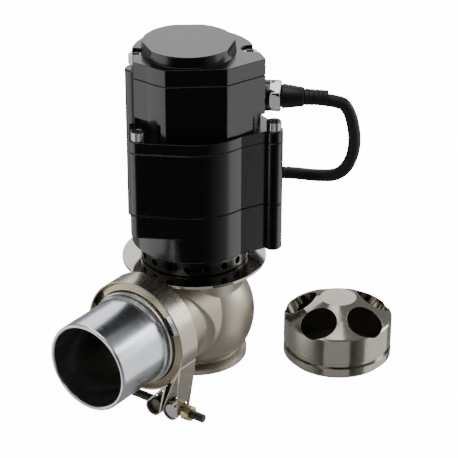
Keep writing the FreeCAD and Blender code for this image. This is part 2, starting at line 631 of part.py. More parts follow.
def headed(name, low, high, boss_top):
    """The electronics housing's plan, raised between two heights."""
    body = new_body(name + "_body")
    tall = f"({high}) - ({low})"
    raised(body, disc(body, name + "_round", "sizes.head_rad"), name + "_pad", tall, low)
    raised(body, head_outline(body, name + "_plan"), name + "_corners", tall, low)
    front = outline(body, name + "_front_outline", "XY_Plane", [
        (HEAD_FRONT, "-sizes.flat_side"), ("sizes.head_rad + 2", "-sizes.flat_side"),
        ("sizes.head_rad + 2", "sizes.flat_side"), (HEAD_FRONT, "sizes.flat_side")])
    body.Tip = sunk(body, front, name + "_front", tall, high)
    if boss_top:
        for angle in SCREW_ANGLES:
            x, y = about_z(str(angle), "sizes.boss_reach")
            tag = f"{name}_boss_{angle % 360}"
            body.Tip = raised(body, disc(body, tag + "_round", "sizes.boss_rad", x, y), tag,
                              f"({boss_top}) - ({low})", low)
    body.Placement = Placement(Vector(0, 0, 0), Rotation(Vector(0, 0, 1), SIZE["head_turn"]))
    bind(body, Placement__Rotation__Angle="sizes.head_turn * 1 deg")
    return body


def at_head(name, angle, radius, height, reach, low):
    """An upright cylinder at an angle from the way that the housing faces."""
    x, y = about_z(f"sizes.head_turn + ({angle})", reach)
    return cylinder(name, radius, height, (x, y, low))


# Electronics housing: holds the drive board, with arched pockets over the bolt heads.
HEAD_LOW = "sizes.plate_high + sizes.fit_clear / 2"
HEAD_TOP = "sizes.head_high - sizes.fit_clear / 2"
head_case = headed("head_case", HEAD_LOW, HEAD_TOP, HEAD_TOP)
gland_turn = Rotation(Vector(0, 0, 1), SIZE["gland_turn"]) * Rotation(Vector(0, 1, 0), 90)


def at_gland(name, radius, start, length):
    """A round piece on the gland's axis, from a distance off the valve axis."""
    x, y = about_z("sizes.gland_turn", start)
    return cylinder(name, radius, length, (x, y, "sizes.gland_height"), gland_turn)


gland_pad = at_gland("gland_pad", "sizes.gland_pad_rad", "sizes.head_rad - sizes.head_wall - 1",
                     "sizes.gland_face - sizes.head_rad + sizes.head_wall + 1")
cavity = cylinder("head_cavity", "sizes.head_rad - sizes.head_wall",
                  "sizes.head_high - sizes.plate_high", ("0", "0", "sizes.plate_high + 3"))
head_floor_hole = cylinder("head_floor_hole", "sizes.rotor_shaft_rad + sizes.shaft_room", "5",
                           ("0", "0", "sizes.plate_high - 1"))
gland_hole = at_gland("gland_hole", "sizes.gland_thread_rad + sizes.fit_clear",
                      "sizes.head_rad - 8", "sizes.gland_face - sizes.head_rad + 9")
bolt_pockets = []
for tag, turn, reach in LUGS:
    x, y = about_z(turn, reach)
    bolt_pockets.append(cylinder("bolt_pocket_" + tag, "sizes.pocket_rad", "sizes.pocket_high",
                                 (x, y, "sizes.plate_high")))
head_arched = cut("head_case_arched", head_case, bolt_pockets)
head_tools = [cavity, head_floor_hole, gland_hole]
for angle in SCREW_ANGLES:
    head_tools.append(at_head(f"head_tap_{angle % 360}", angle, "sizes.screw_rad",
                              "sizes.cap_screw_long",
                              "sizes.boss_reach", "sizes.head_high - sizes.cap_screw_long + 4"))
head_cut = cut("head_case_cut", fused("head_case_solid", [head_arched, gland_pad]), head_tools)
keep(broken_edges("head_case_edges", head_cut, [HEAD_TOP]), "electronics_housing")

# Cap: flange plate with a raised crown; slots at its edge take the cap screws.
cap_plate = headed("cap_plate", "sizes.head_high", "sizes.cap_high", "")
crown = cone("crown", "sizes.crown_foot_rad", "sizes.crown_rad",
             "sizes.crown_high - sizes.cap_high + 0.01",
             ("sizes.crown_x", "sizes.crown_y", "sizes.cap_high - 0.01"))
crown_cuts = []
for i, gap in enumerate(("0", "-sizes.crown_gap", "(360 - sizes.crown_gap) / 2")):
    turn = f"sizes.crown_turn + {gap}"
    cutter = block(f"crown_cutter_{i}", "20", "60", "20")
    cutter.Placement = Placement(Vector(0, 0, 0),
                                 Rotation(Vector(0, 0, 1), number(turn.replace(" deg", ""))))
    cut_x, cut_y = about_z(turn, "sizes.crown_cut")
    cut_x, cut_y = f"sizes.crown_x + {cut_x}", f"sizes.crown_y + {cut_y}"
    mid_x = f"{cut_x} + 30 * sin(({turn}) * 1 deg)"
    mid_y = f"{cut_y} - 30 * cos(({turn}) * 1 deg)"
    bind(cutter, Placement__Base__x=mid_x, Placement__Base__y=mid_y,
         Placement__Base__z="sizes.cap_high", Placement__Rotation__Angle=f"({turn}) * 1 deg")
    doc.recompute()
    low_edges = []
    centre = Vector(number(cut_x), number(cut_y), number("sizes.cap_high"))
    for index, edge in enumerate(cutter.Shape.Edges, start=1):
        if (edge.CenterOfMass - centre).Length < 1e-3:
            low_edges.append((index, SIZE["cut_blend"], SIZE["cut_blend"]))
    blend = doc.addObject("Part::Fillet", f"crown_blend_{i}")
    blend.Base = cutter
    blend.Edges = low_edges
    crown_cuts.append(blend)
cap_solid = fused("cap_solid", [cap_plate, cut("crown_shaped", crown, crown_cuts)])
cap_tools = [cylinder("cap_hollow", "sizes.head_rad - sizes.head_wall - 4",
                      "sizes.cap_high - sizes.head_high - sizes.cap_wall",
                      ("0", "0", "sizes.head_high"))]
front_x, front_y = about_z("sizes.head_turn", HEAD_FRONT)
front_cutter = block("cap_front_cutter", "10", "40", "20",
                     (f"{front_x} + 20 * sin(sizes.head_turn * 1 deg)",
                      f"{front_y} - 20 * cos(sizes.head_turn * 1 deg)", "sizes.cap_high - 1"),
                     Rotation(Vector(0, 0, 1), SIZE["head_turn"]))
bind(front_cutter, Placement__Rotation__Angle="sizes.head_turn * 1 deg")
cap_tools.append(front_cutter)
for angle in SCREW_ANGLES:
    tag = angle % 360
    slot_rad = "sizes.screw_head_rad + 0.7"
    seat_high = "sizes.head_high + sizes.screw_seat"
    cap_tools.append(at_head(f"cap_slot_{tag}", angle, slot_rad, "12", "sizes.boss_reach",
                             seat_high))
    turn = f"sizes.head_turn + ({angle})"
    x = f"sizes.boss_reach * cos(({turn}) * 1 deg) + ({slot_rad}) * sin(({turn}) * 1 deg)"
    y = f"sizes.boss_reach * sin(({turn}) * 1 deg) - ({slot_rad}) * cos(({turn}) * 1 deg)"
    channel = block(f"cap_channel_{tag}", "20", f"2 * ({slot_rad})", "12", (x, y, seat_high),
                    Rotation(Vector(0, 0, 1), SIZE["head_turn"] + angle))
    bind(channel, Placement__Rotation__Angle=f"({turn}) * 1 deg")
    cap_tools.append(channel)
    cap_tools.append(at_head(f"cap_screw_hole_{tag}", angle, "sizes.screw_rad + sizes.fit_clear",
                             "10", "sizes.boss_reach", "sizes.head_high - 1"))
keep(cut("cap_cut", cap_solid, cap_tools), "top_cap")


def cap_screw(name, length):
    """A socket head cap screw standing head up, its head's seat at height zero."""
    head = cylinder(name + "_head", "sizes.screw_head_rad", "sizes.screw_head_high")
    shank = cylinder(name + "_shank", "sizes.screw_rad - 0.02", f"({length}) + 0.5",
                     ("0", "0", f"-({length})"))
    socket = doc.addObject("Part::Prism", name + "_socket")
    socket.Polygon = 6
    bind(socket, Circumradius="sizes.hex_key_rad", Height="sizes.hex_key_deep + 1",
         Placement__Base__z="sizes.screw_head_high - sizes.hex_key_deep")
    return cut(name, fused(name + "_solid", [head, shank]), [socket])


def screw_set(name, screw, places):
    """Copies of one screw as one node."""
    copies = []
    for index, base in enumerate(places):
        copy = doc.addObject("Part::Compound", f"{name}_{index}")
        copy.Links = [screw]
        place(copy, base)
        copies.append(copy)
    group = doc.addObject("Part::Compound", name + "_set")
    group.Links = copies
    return keep(group, name)


short_screw = cap_screw("short_screw", "sizes.cap_screw_long - 4")
screw_set("cap_screws", short_screw, [
    about_z(f"sizes.head_turn + ({angle})", "sizes.boss_reach")
    + ("sizes.head_high + sizes.screw_seat",) for angle in SCREW_ANGLES])
long_screw = cap_screw("long_screw", "sizes.housing_screw_long")
screw_set("housing_bolts", long_screw, [
    about_z(turn, reach) + ("sizes.plate_high",) for tag, turn, reach in LUGS])

# Motor: stator stack with winding heads, and a magnet rotor on a hollow shaft.
MOTOR_MID = "sizes.stator_low + sizes.stator_long"
keep(turned("stator", [
    ("sizes.stator_bore_rad", "sizes.stator_low"),
    ("sizes.stator_rad", "sizes.stator_low"),
    ("sizes.stator_rad", MOTOR_MID),
    ("sizes.stator_bore_rad", MOTOR_MID),
]), "stator")
for label, low in (("lower_windings", "sizes.stator_low - sizes.coil_thick - 0.05"),
                   ("upper_windings", MOTOR_MID + " + 0.05")):
    keep(turned(label, [
        ("sizes.stator_bore_rad + 1", low),
        ("sizes.stator_rad - 2", low),
        ("sizes.stator_rad - 2", f"{low} + sizes.coil_thick"),
        ("sizes.stator_bore_rad + 1", f"{low} + sizes.coil_thick"),
    ]), label)
SHAFT_LOW = "sizes.base_high + sizes.bearing_lip + sizes.close_gap"
LOW_BEARING_TOP = "sizes.base_high + sizes.bearing_lip + sizes.bearing_wide"
HIGH_BEARING_LOW = "sizes.motor_high + sizes.bearing_sink - sizes.bearing_wide"
keep(turned("rotor_shaft", [
    ("sizes.screw_core_rad + sizes.run_clear", SHAFT_LOW),
    ("sizes.rotor_shaft_rad", SHAFT_LOW),
    ("sizes.rotor_shaft_rad", LOW_BEARING_TOP + " + sizes.close_gap"),
    ("sizes.rotor_rad - sizes.magnet_thick - sizes.fit_clear", "sizes.stator_low"),
    ("sizes.rotor_rad - sizes.magnet_thick - sizes.fit_clear", MOTOR_MID),
    ("sizes.rotor_shaft_rad", HIGH_BEARING_LOW + " - sizes.close_gap"),
    ("sizes.rotor_shaft_rad", "sizes.plate_high - 1"),
    ("sizes.screw_core_rad + sizes.run_clear", "sizes.plate_high - 1"),
]), "rotor_shaft")
keep(turned("rotor_magnets", [
    ("sizes.rotor_rad - sizes.magnet_thick", "sizes.stator_low + 0.5"),
    ("sizes.rotor_rad", "sizes.stator_low + 0.5"),
    ("sizes.rotor_rad", MOTOR_MID + " - 0.5"),
    ("sizes.rotor_rad - sizes.magnet_thick", MOTOR_MID + " - 0.5"),
]), "rotor_magnets")
for label, low in (("lower_bearing", "sizes.base_high + sizes.bearing_lip + 0.05"),
                   ("upper_bearing", HIGH_BEARING_LOW)):
    keep(turned(label, [
        ("sizes.rotor_shaft_rad + sizes.run_clear", low),
        ("sizes.bearing_rad", low),
        ("sizes.bearing_rad", f"{low} + sizes.bearing_wide - 0.1"),
        ("sizes.rotor_shaft_rad + sizes.run_clear", f"{low} + sizes.bearing_wide - 0.1"),
    ]), label)

# Lead screw, anti-turn spring seat and position magnet that move with the stem.
keep(turned("lead_screw", [
    ("0", "sizes.stem_top + 0.05"),
    ("sizes.stem_rad", "sizes.stem_top + 0.05"),
    ("sizes.screw_core_rad", "sizes.stem_top + 3"),
    ("sizes.screw_core_rad", "sizes.plate_high + 2"),
    ("0", "sizes.plate_high + 2"),
]), "lead_screw")
keep(turned("position_magnet", [
    ("0", "sizes.plate_high + 2.05"),
    ("sizes.screw_core_rad - 0.5", "sizes.plate_high + 2.05"),
    ("sizes.screw_core_rad - 0.5", "sizes.plate_high + 5"),
    ("0", "sizes.plate_high + 5"),
]), "position_magnet")
SEAT_TOP = "sizes.spring_seat_low + sizes.spring_seat_thick"
keep(turned("spring_seat", [
    ("sizes.stem_rad + 0.02", "sizes.spring_seat_low"),
    ("sizes.spring_seat_rad", "sizes.spring_seat_low"),
    ("sizes.spring_seat_rad", SEAT_TOP),
    ("sizes.stem_rad + 3", SEAT_TOP),
    ("sizes.stem_rad + 3", SEAT_TOP + " + 3"),
    ("sizes.stem_rad + 0.02", SEAT_TOP + " + 3"),
]), "spring_seat")
spring = doc.addObject("Part::Feature", "return_spring")
spring_low = number(SEAT_TOP) + SIZE["spring_wire_rad"] + 0.1
spring_high = SIZE["base_high"] - SIZE["spring_wire_rad"] - 0.1
spring_path = Part.makeHelix((spring_high - spring_low) / SIZE["spring_turns"],
                             spring_high - spring_low, SIZE["spring_coil_rad"])
spring_wire = Part.Wire([Part.makeCircle(SIZE["spring_wire_rad"],
                                         Vector(SIZE["spring_coil_rad"], 0, 0),
                                         Vector(0, 1, 0))])
spring.Shape = Part.Wire(spring_path.Edges).makePipeShell([spring_wire], True, True).translated(
    Vector(0, 0, spring_low))
keep(spring, "return_spring")

# Stem seal: a lip seal in the floor of the spring housing.
keep(turned("stem_seal", [
    ("sizes.stem_rad + sizes.run_clear", "sizes.base_low - sizes.seal_high"),
    ("sizes.guide_rad + sizes.close_gap", "sizes.base_low - sizes.seal_high"),
    ("sizes.guide_rad + sizes.close_gap", "sizes.base_low"),
    ("sizes.stem_rad + sizes.run_clear", "sizes.base_low"),
]), "stem_seal")

# Drive board on three posts, with its capacitors and the valve's position sensor.
BOARD_RAD = "sizes.head_rad - sizes.head_wall - sizes.close_gap"
BOARD_TOP = "sizes.board_low + sizes.board_thick"
board_disc = cylinder("board_disc", BOARD_RAD, "sizes.board_thick", ("0", "0", "sizes.board_low"))
board_holes, posts, board_screws = [], [], []
for i in range(3):
    x, y = about_z(f"sizes.board_post_turn + {120 * i}", "sizes.board_post_reach")
    board_holes.append(cylinder(f"board_hole_{i}", "sizes.board_screw_rad + sizes.fit_clear",
                                "sizes.board_thick + 2", (x, y, "sizes.board_low - 1")))
    post_low = "sizes.plate_high + 3"
    post = cylinder(f"board_post_{i}", "sizes.board_post_rad",
                    f"sizes.board_low - ({post_low})", (x, y, post_low))
    tap = cylinder(f"board_tap_{i}", "sizes.board_screw_rad + sizes.fit_clear / 4",
                   "8", (x, y, "sizes.board_low - 7"))
    posts.append(cut(f"board_post_cut_{i}", post, [tap]))
    head = cylinder(f"board_screw_head_{i}", "sizes.board_screw_rad * 2",
                    "2", (x, y, BOARD_TOP))
    shank = cylinder(f"board_screw_shank_{i}", "sizes.board_screw_rad",
                     "sizes.board_thick + 7", (x, y, "sizes.board_low - 6"))
    board_screws.append(fused(f"board_screw_{i}", [head, shank]))
keep(cut("board_cut", board_disc, board_holes), "drive_board")
for label, pieces in (("board_posts", posts), ("board_screws", board_screws)):
    group = doc.addObject("Part::Compound", label + "_set")
    group.Links = pieces
    keep(group, label)
keep(block("sensor_chip_block", "5", "5", "1.2", ("-2.5", "-2.5", "sizes.board_low - 1.2")),
     "position_sensor")
capacitors = doc.addObject("Part::Compound", "capacitor_set")
capacitors.Links = [cylinder(f"capacitor_{i}", "4", "8", (x, y, BOARD_TOP))
                    for i, (x, y) in enumerate((("-12", "4"), ("-12", "-6"), ("10", "-12")))]
keep(capacitors, "board_capacitors")

# Hose adaptor: polished aluminium tube with a plain hose tail and a V-band flange.
FROM_FLANGE = "sizes.port_face + sizes.gasket_thick"
steps = ["sizes.flange_rim", "sizes.flange_rim + sizes.flange_taper"]
tail = "sizes.tube_end - sizes.port_face - sizes.gasket_thick"
keep(turned("hose_adaptor", [
    ("sizes.port_bore_rad", "0"),
    ("sizes.flange_rad", "0"),
    ("sizes.flange_rad", steps[0]),
    ("sizes.step_rad", steps[1]),
    ("sizes.step_rad", f"{steps[1]} + sizes.step_wide"),
    ("sizes.step_rad - 0.7", f"{steps[1]} + sizes.step_wide + 0.5"),
    ("sizes.step_rad - 0.7", f"{steps[1]} + 2 * sizes.step_wide"),
    ("sizes.tube_rad", f"{steps[1]} + 2 * sizes.step_wide + 0.8"),
    ("sizes.tube_rad", f"{tail} - 1"),
    ("sizes.tube_rad - 0.3", f"{tail} - 0.3"),
    ("sizes.tube_rad - 0.9", tail),
    ("sizes.port_bore_rad + 0.5", tail),
    ("sizes.port_bore_rad", f"{tail} - 0.5"),
], ("0", f"-({FROM_FLANGE})", "sizes.port_height"), TO_MINUS_Y), "hose_adaptor")
keep(turned("inlet_gasket", [
    ("sizes.port_bore_rad + 0.4", "0.03"),
    ("sizes.flange_rad - 1", "0.03"),
    ("sizes.flange_rad - 1", "sizes.gasket_thick - 0.03"),
    ("sizes.port_bore_rad + 0.4", "sizes.gasket_thick - 0.03"),
], ("0", "-sizes.port_face", "sizes.port_height"), TO_MINUS_Y), "inlet_gasket")

# V-band clamp. Its pieces are drawn with X down from the port's axis and Y along the bolt.
CLAMP_TURN = Rotation(Vector(0, 0, -1), Vector(1, 0, 0), Vector(0, -1, 0), "ZXY")
CLAMP_BASE = ("0", "-(sizes.port_face + sizes.gasket_thick / 2)", "sizes.port_height")


def loop_outline(name, turn, eye_y, shrink):
    """The teardrop of one band loop, from the ring to the bolt's cross pin."""
    radius = f"(sizes.loop_rad - {shrink})"
    apex_x, apex_y = about_z(turn, "sizes.band_rad + sizes.band_thick / 2")
    eye_x = "sizes.bolt_reach"
    if shrink != "0":
        apex_x = f"({apex_x}) + (({eye_x}) - ({apex_x})) * 0.16"
        apex_y = f"({apex_y}) + (({eye_y}) - ({apex_y})) * 0.16"
    round_part = cylinder(name + "_eye", radius, "sizes.band_wide",
                          (eye_x, eye_y, "-sizes.band_wide / 2"))
    body = new_body(name + "_leg")
    reach = f"(({eye_x}) - ({apex_x}))"
    across = f"(({eye_y}) - ({apex_y}))"
    span = f"sqrt({reach} ^ 2 + {across} ^ 2)"
    normal_x, normal_y = f"{across} / {span}", f"-{reach} / {span}"
    apex_half = f"sizes.band_thick * {0.9 if shrink == '0' else 0.15}"
    sketch = outline(body, name + "_leg_outline", "XY_Plane", [
        (f"({apex_x}) + {normal_x} * {apex_half}", f"({apex_y}) + {normal_y} * {apex_half}"),
        (f"({eye_x}) + {normal_x} * {radius}", f"({eye_y}) + {normal_y} * {radius}"),
        (f"({eye_x}) - {normal_x} * {radius}", f"({eye_y}) - {normal_y} * {radius}"),
        (f"({apex_x}) - {normal_x} * {apex_half}", f"({apex_y}) - {normal_y} * {apex_half}")])
    raised(body, sketch, name + "_leg_pad", "sizes.band_wide", "-sizes.band_wide / 2")
    return fused(name, [round_part, body])


band_outer = cylinder("band_outer", "sizes.band_rad + sizes.band_thick", "sizes.band_wide",
                      ("0", "0", "-sizes.band_wide / 2"))
band_inner = cylinder("band_inner", "sizes.band_rad", "sizes.band_wide + 2",
                      ("0", "0", "-sizes.band_wide / 2 - 1"))
gap_x, gap_y = about_z("sizes.band_gap_turn", "10")
band_opening = block("band_opening", "sizes.band_rad", "sizes.band_gap",
                     "sizes.band_wide + 2", (gap_x, gap_y, "-sizes.band_wide / 2 - 1"),
                     Rotation(Vector(0, 0, 1), SIZE["band_gap_turn"]))
bind(band_opening, Placement__Rotation__Angle="sizes.band_gap_turn * 1 deg")
band_ring = cut("band_ring", band_outer, [band_opening])
LOOPS = (("head", "sizes.head_loop_turn", "sizes.head_loop_side"),
         ("nut", "sizes.nut_loop_turn", "sizes.nut_loop_side"))
loops = [loop_outline("loop_" + tag, turn, side, "0") for tag, turn, side in LOOPS]
hollows = [loop_outline("hollow_" + tag, turn, side, "sizes.band_thick")
           for tag, turn, side in LOOPS]
tapers = []
for side in (1, -1):
    body = new_body(f"loop_taper_{side + 1}")
    sketch = outline(body, f"loop_taper_line_{side + 1}", "XZ_Plane", [
        ("sizes.band_rad / 2", f"{side} * (sizes.band_wide / 2 + 0.2)"),
        ("sizes.bolt_reach", f"{side} * sizes.loop_half"),
        ("sizes.bolt_reach + 8", f"{side} * sizes.loop_half"),
        ("sizes.bolt_reach + 8", f"{side} * (sizes.band_wide / 2 + 4)")])
    raised(body, sketch, f"loop_taper_pad_{side + 1}", "2 * sizes.bolt_reach", "-sizes.bolt_reach")
    tapers.append(body)
nut_strap = cut("nut_strap", loops[1], tapers)
bolt_slot = block("bolt_slot", "2 * sizes.loop_rad",
                  "sizes.nut_loop_side - sizes.head_loop_side + 2 * sizes.loop_rad + 2",
                  "2 * sizes.loop_slot",
                  ("sizes.bolt_reach - sizes.loop_rad",
                   "sizes.head_loop_side - sizes.loop_rad - 1", "-sizes.loop_slot"))
band = cut("band_cut", fused("band_solid", [band_ring, loops[0], nut_strap]),
           [band_inner, bolt_slot] + hollows)
place(band, CLAMP_BASE, CLAMP_TURN)
keep(band, "clamp_band")

# Retainers: rolled V channels, spot-welded inside the band, that draw the flanges up.
retainer_parts = []
inner = "sizes.flange_rad + 0.4"
outer = "sizes.band_rad - 0.03"
lip = "sizes.flange_rad - sizes.retainer_lip"
for i in range(int(SIZE["retainers"])):
    body = new_body(f"retainer_{i}")
    section = outline(body, f"retainer_section_{i}", "XZ_Plane", [
        (inner, "-(sizes.flange_rim + 0.5)"), (lip, "-(sizes.flange_rim + 2.3)"),
        (lip, "-(sizes.flange_rim + 3.6)"), (outer, "-(sizes.flange_rim + 1.6)"),
        (outer, "sizes.flange_rim + 1.6"), (lip, "sizes.flange_rim + 3.6"),
        (lip, "sizes.flange_rim + 2.3"), (inner, "sizes.flange_rim + 0.5")])
    arc = body.newObject("PartDesign::Revolution", f"retainer_arc_{i}")
    arc.Profile = section
    arc.ReferenceAxis = (section, ["V_Axis"])
    bind(arc, Angle="sizes.retainer_arc")
    body.Tip = arc
    spread = 360 / SIZE["retainers"]
    body.Placement = Placement(Vector(0, 0, 0), Rotation(
        Vector(0, 0, 1), spread * (i + 0.5) - SIZE["retainer_arc"] / 2))
    retainer_parts.append(body)
retainers = doc.addObject("Part::Compound", "retainer_set")
retainers.Links = retainer_parts
place(retainers, CLAMP_BASE, CLAMP_TURN)
keep(retainers, "v_retainers")

# Clamp bolt with its cross head, the trunnion that the nut bears on, and the nut.
ALONG_BOLT = Rotation(Vector(1, 0, 0), -90)
PIN_LONG = "2 * sizes.loop_half - 1.8"
head_pin = cylinder("head_pin", "sizes.pin_rad", PIN_LONG,
                    ("sizes.bolt_reach", "sizes.head_loop_side", f"-({PIN_LONG}) / 2"))
bolt_shank = cylinder("bolt_shank", "sizes.bolt_rad", "sizes.bolt_end - sizes.bolt_tail",
                      ("sizes.bolt_reach", "sizes.bolt_tail", "0"), ALONG_BOLT)
t_bolt = fused("t_bolt_solid", [head_pin, bolt_shank])
place(t_bolt, CLAMP_BASE, CLAMP_TURN)
keep(t_bolt, "t_bolt")
trunnion_pin = cylinder("trunnion_pin", "sizes.pin_rad", PIN_LONG,
                        ("sizes.bolt_reach", "sizes.nut_loop_side", f"-({PIN_LONG}) / 2"))
trunnion_neck = cylinder("trunnion_neck", "sizes.loop_slot - 0.1",
                         "sizes.nut_side - sizes.nut_loop_side - sizes.close_gap / 3",
                         ("sizes.bolt_reach", "sizes.nut_loop_side", "0"), ALONG_BOLT)
trunnion_bore = cylinder("trunnion_bore", "sizes.bolt_rad + sizes.fit_clear", "30",
                         ("sizes.bolt_reach", "sizes.nut_loop_side - 15", "0"), ALONG_BOLT)
trunnion = cut("trunnion_cut", fused("trunnion_solid", [trunnion_pin, trunnion_neck]),
               [trunnion_bore])
place(trunnion, CLAMP_BASE, CLAMP_TURN)
keep(trunnion, "trunnion")
nut_prism = doc.addObject("Part::Prism", "nut_prism")
nut_prism.Polygon = 6
bind(nut_prism, Circumradius="sizes.nut_flat / cos(30)", Height="sizes.nut_thick")
place(nut_prism, ("sizes.bolt_reach", "sizes.nut_side", "0"), ALONG_BOLT)
nut_bore = cylinder("nut_bore", "sizes.bolt_rad + sizes.run_clear", "sizes.nut_thick + 2",
                    ("sizes.bolt_reach", "sizes.nut_side - 1", "0"), ALONG_BOLT)
nut = cut("nut_cut", nut_prism, [nut_bore])
place(nut, CLAMP_BASE, CLAMP_TURN)
keep(nut, "clamp_nut")

# Cable gland: plated hexagon, black cap and a strain relief sleeve, then the lead.
GLAND_START = "sizes.gland_face + 0.05"
hexagon = doc.addObject("Part::Prism", "gland_hexagon")
hexagon.Polygon = 6
bind(hexagon, Circumradius="sizes.gland_hex / cos(30)", Height="sizes.gland_hex_thick")
hex_x, hex_y = about_z("sizes.gland_turn", GLAND_START)
place(hexagon, (hex_x, hex_y, "sizes.gland_height"), gland_turn)
gland_thread = at_gland("gland_thread", "sizes.gland_thread_rad",
                        "sizes.head_rad - sizes.head_wall", "sizes.gland_face - sizes.head_rad"
                        " + sizes.head_wall + 1")
wire_bore = at_gland("gland_wire_bore", "sizes.lead_rad + sizes.fit_clear",
                     "sizes.head_rad - sizes.head_wall - 1", "40")
gland_nut = cut("gland_nut_cut", fused("gland_nut_solid", [hexagon, gland_thread]), [wire_bore])
keep(gland_nut, "gland_nut")
CAP_START = "sizes.gland_face + sizes.gland_hex_thick + 0.1"
cap_body = at_gland("gland_cap_round", "sizes.gland_rad", CAP_START, "sizes.gland_long")
cap_bore = at_gland("gland_cap_bore", "sizes.lead_rad + sizes.fit_clear",
                    CAP_START + " - 1", "sizes.gland_long + 2")
keep(cut("gland_cap_cut", cap_body, [cap_bore]), "gland_cap")
SLEEVE_START = CAP_START + " + sizes.gland_long + 0.05"
sleeve = at_gland("sleeve_round", "sizes.sleeve_rad", SLEEVE_START, "sizes.sleeve_long")
sleeve_bore = at_gland("sleeve_bore", "sizes.lead_rad + sizes.fit_clear",
                       SLEEVE_START + " - 1", "sizes.sleeve_long + 2")
keep(cut("sleeve_cut", sleeve, [sleeve_bore]), "lead_sleeve")

# Lead: its route is a list of chosen points, with straight runs and tangent arcs.
lead_x, lead_y = (number(f) for f in about_z("sizes.gland_turn", "sizes.head_rad"))
LEAD_POINTS = [
    (lead_x, lead_y, SIZE["gland_height"]),
    (66.2, 38.2, 158.5),
    (72.9, 42.2, 151.6),
    (75.0, 45.6, 129.0),
    (67.5, 44.2, 111.4),
    (51.0, 42.0, 107.6),
    (35.0, 46.5, 103.0),
    (17.0, 52.5, 96.0),
    (2.0, 57.5, 89.0),
    (-16.0, 57.0, 80.0),
    (-16.0, 57.0, 62.0),
]


def cord_path(points):
    """Straight runs joined by tangent arcs, and the radius of each arc."""
    corners = [Vector(*point) for point in points]
    edges, radii = [], []
    start = corners[0]
    for before, corner, after in zip(corners, corners[1:], corners[2:]):
        back, ahead = before - corner, after - corner
        half_turn = (math.pi - back.getAngle(ahead)) / 2
        radius = 0.45 * min(back.Length, ahead.Length) / math.tan(half_turn)
        trim = radius * math.tan(half_turn)
        back.normalize()
        ahead.normalize()
        first, last = corner + back * trim, corner + ahead * trim
        inward = back + ahead
        inward.normalize()
        centre = corner + inward * (radius / math.cos(half_turn))
        away = corner - centre
        away.normalize()
        edges.append(Part.makeLine(start, first))
        edges.append(Part.Arc(first, centre + away * radius, last).toShape())
        radii.append(radius)
        start = last
    edges.append(Part.makeLine(start, corners[-1]))
    return Part.Wire(edges), radii


lead_path, lead_radii = cord_path(LEAD_POINTS)
lead_start = Vector(*LEAD_POINTS[0])
lead_ring = Part.Wire([Part.makeCircle(SIZE["lead_rad"], lead_start,
                                       Vector(*LEAD_POINTS[1]) - lead_start)])
lead = doc.addObject("Part::Feature", "lead")
lead.Shape = lead_path.makePipeShell([lead_ring], True, True)
keep(lead, "lead_cable")
print("lead bend radii", [round(radius, 1) for radius in lead_radii],
      "length", round(lead_path.Length, 1), "volume / (section * length)",
      round(lead.Shape.Volume / (math.pi * SIZE["lead_rad"] ** 2 * lead_path.Length), 4))

# Connector on the lead's end: a moulded housing with a latch and a boot at its back.
plug_x, plug_y, plug_z = LEAD_POINTS[-1]
boot = cylinder("plug_boot", "sizes.lead_rad + 2", "8", (str(plug_x), str(plug_y),
                                                        str(plug_z - 8)))
shell = block("plug_shell", "sizes.plug_wide", "sizes.plug_deep", "sizes.plug_long",
              (f"{plug_x} - sizes.plug_wide / 2", f"{plug_y} - sizes.plug_deep / 2",
               f"{plug_z} - 7.9 - sizes.plug_long"))
latch = block("plug_latch", "7", "2.6", "20", (f"{plug_x} - 3.5",
                                               f"{plug_y} + sizes.plug_deep / 2 - 0.1",
                                               f"{plug_z} - 32"))
plug_mouth = block("plug_mouth", "sizes.plug_wide - 4", "sizes.plug_deep - 4", "14",
                   (f"{plug_x} - sizes.plug_wide / 2 + 2", f"{plug_y} - sizes.plug_deep / 2 + 2",
                    f"{plug_z} - 8.9 - sizes.plug_long"))
keep(cut("plug_cut", fused("plug_solid", [boot, shell, latch]), [plug_mouth]), "lead_connector")
pins = []
for i in range(6):
    pins.append(block(f"plug_pin_{i}", "1.2", "1.2", "11",
                      (f"{plug_x} - 6.6 + {(i % 3) * 6}", f"{plug_y} - 3.2 + {(i // 3) * 5}",
                       f"{plug_z} - 7.9 - sizes.plug_long + 1.95")))
pin_set = doc.addObject("Part::Compound", "plug_pins")
pin_set.Links = pins
keep(pin_set, "connector_pins")

# Diffuser insert: turned stainless plug with scooped gas ports, standing beside the valve.
half_groove = "sizes.groove_wide / 2"
rise = "(sizes.insert_high - sizes.insert_side)"
insert = turned("insert_turned", [
    ("sizes.insert_rad - sizes.insert_wall", "0"),
    ("sizes.insert_rad - sizes.insert_foot", "0"),
    ("sizes.insert_rad", "sizes.insert_foot"),
    ("sizes.insert_rad", f"sizes.groove_height - {half_groove}"),
    ("sizes.insert_rad - sizes.groove_deep", f"sizes.groove_height - {half_groove}"),
    ("sizes.insert_rad - sizes.groove_deep", f"sizes.groove_height + {half_groove}"),
    ("sizes.insert_rad", f"sizes.groove_height + {half_groove}"),
    ("sizes.insert_rad", "sizes.insert_side - 0.8"),
    ("sizes.insert_rad - 0.8", "sizes.insert_side"),
    ("sizes.insert_rad * 0.66", f"sizes.insert_side + {rise} * 0.55"),
    ("sizes.insert_top_rad + 0.6", "sizes.insert_high"),
    ("0", "sizes.insert_high"),
    ("0", "sizes.insert_high - sizes.insert_wall"),
    ("sizes.insert_top_rad", "sizes.insert_high - sizes.insert_wall"),
    ("sizes.insert_rad - sizes.insert_wall", "sizes.insert_side - sizes.insert_wall * 0.7"),
])
hole_tools = []
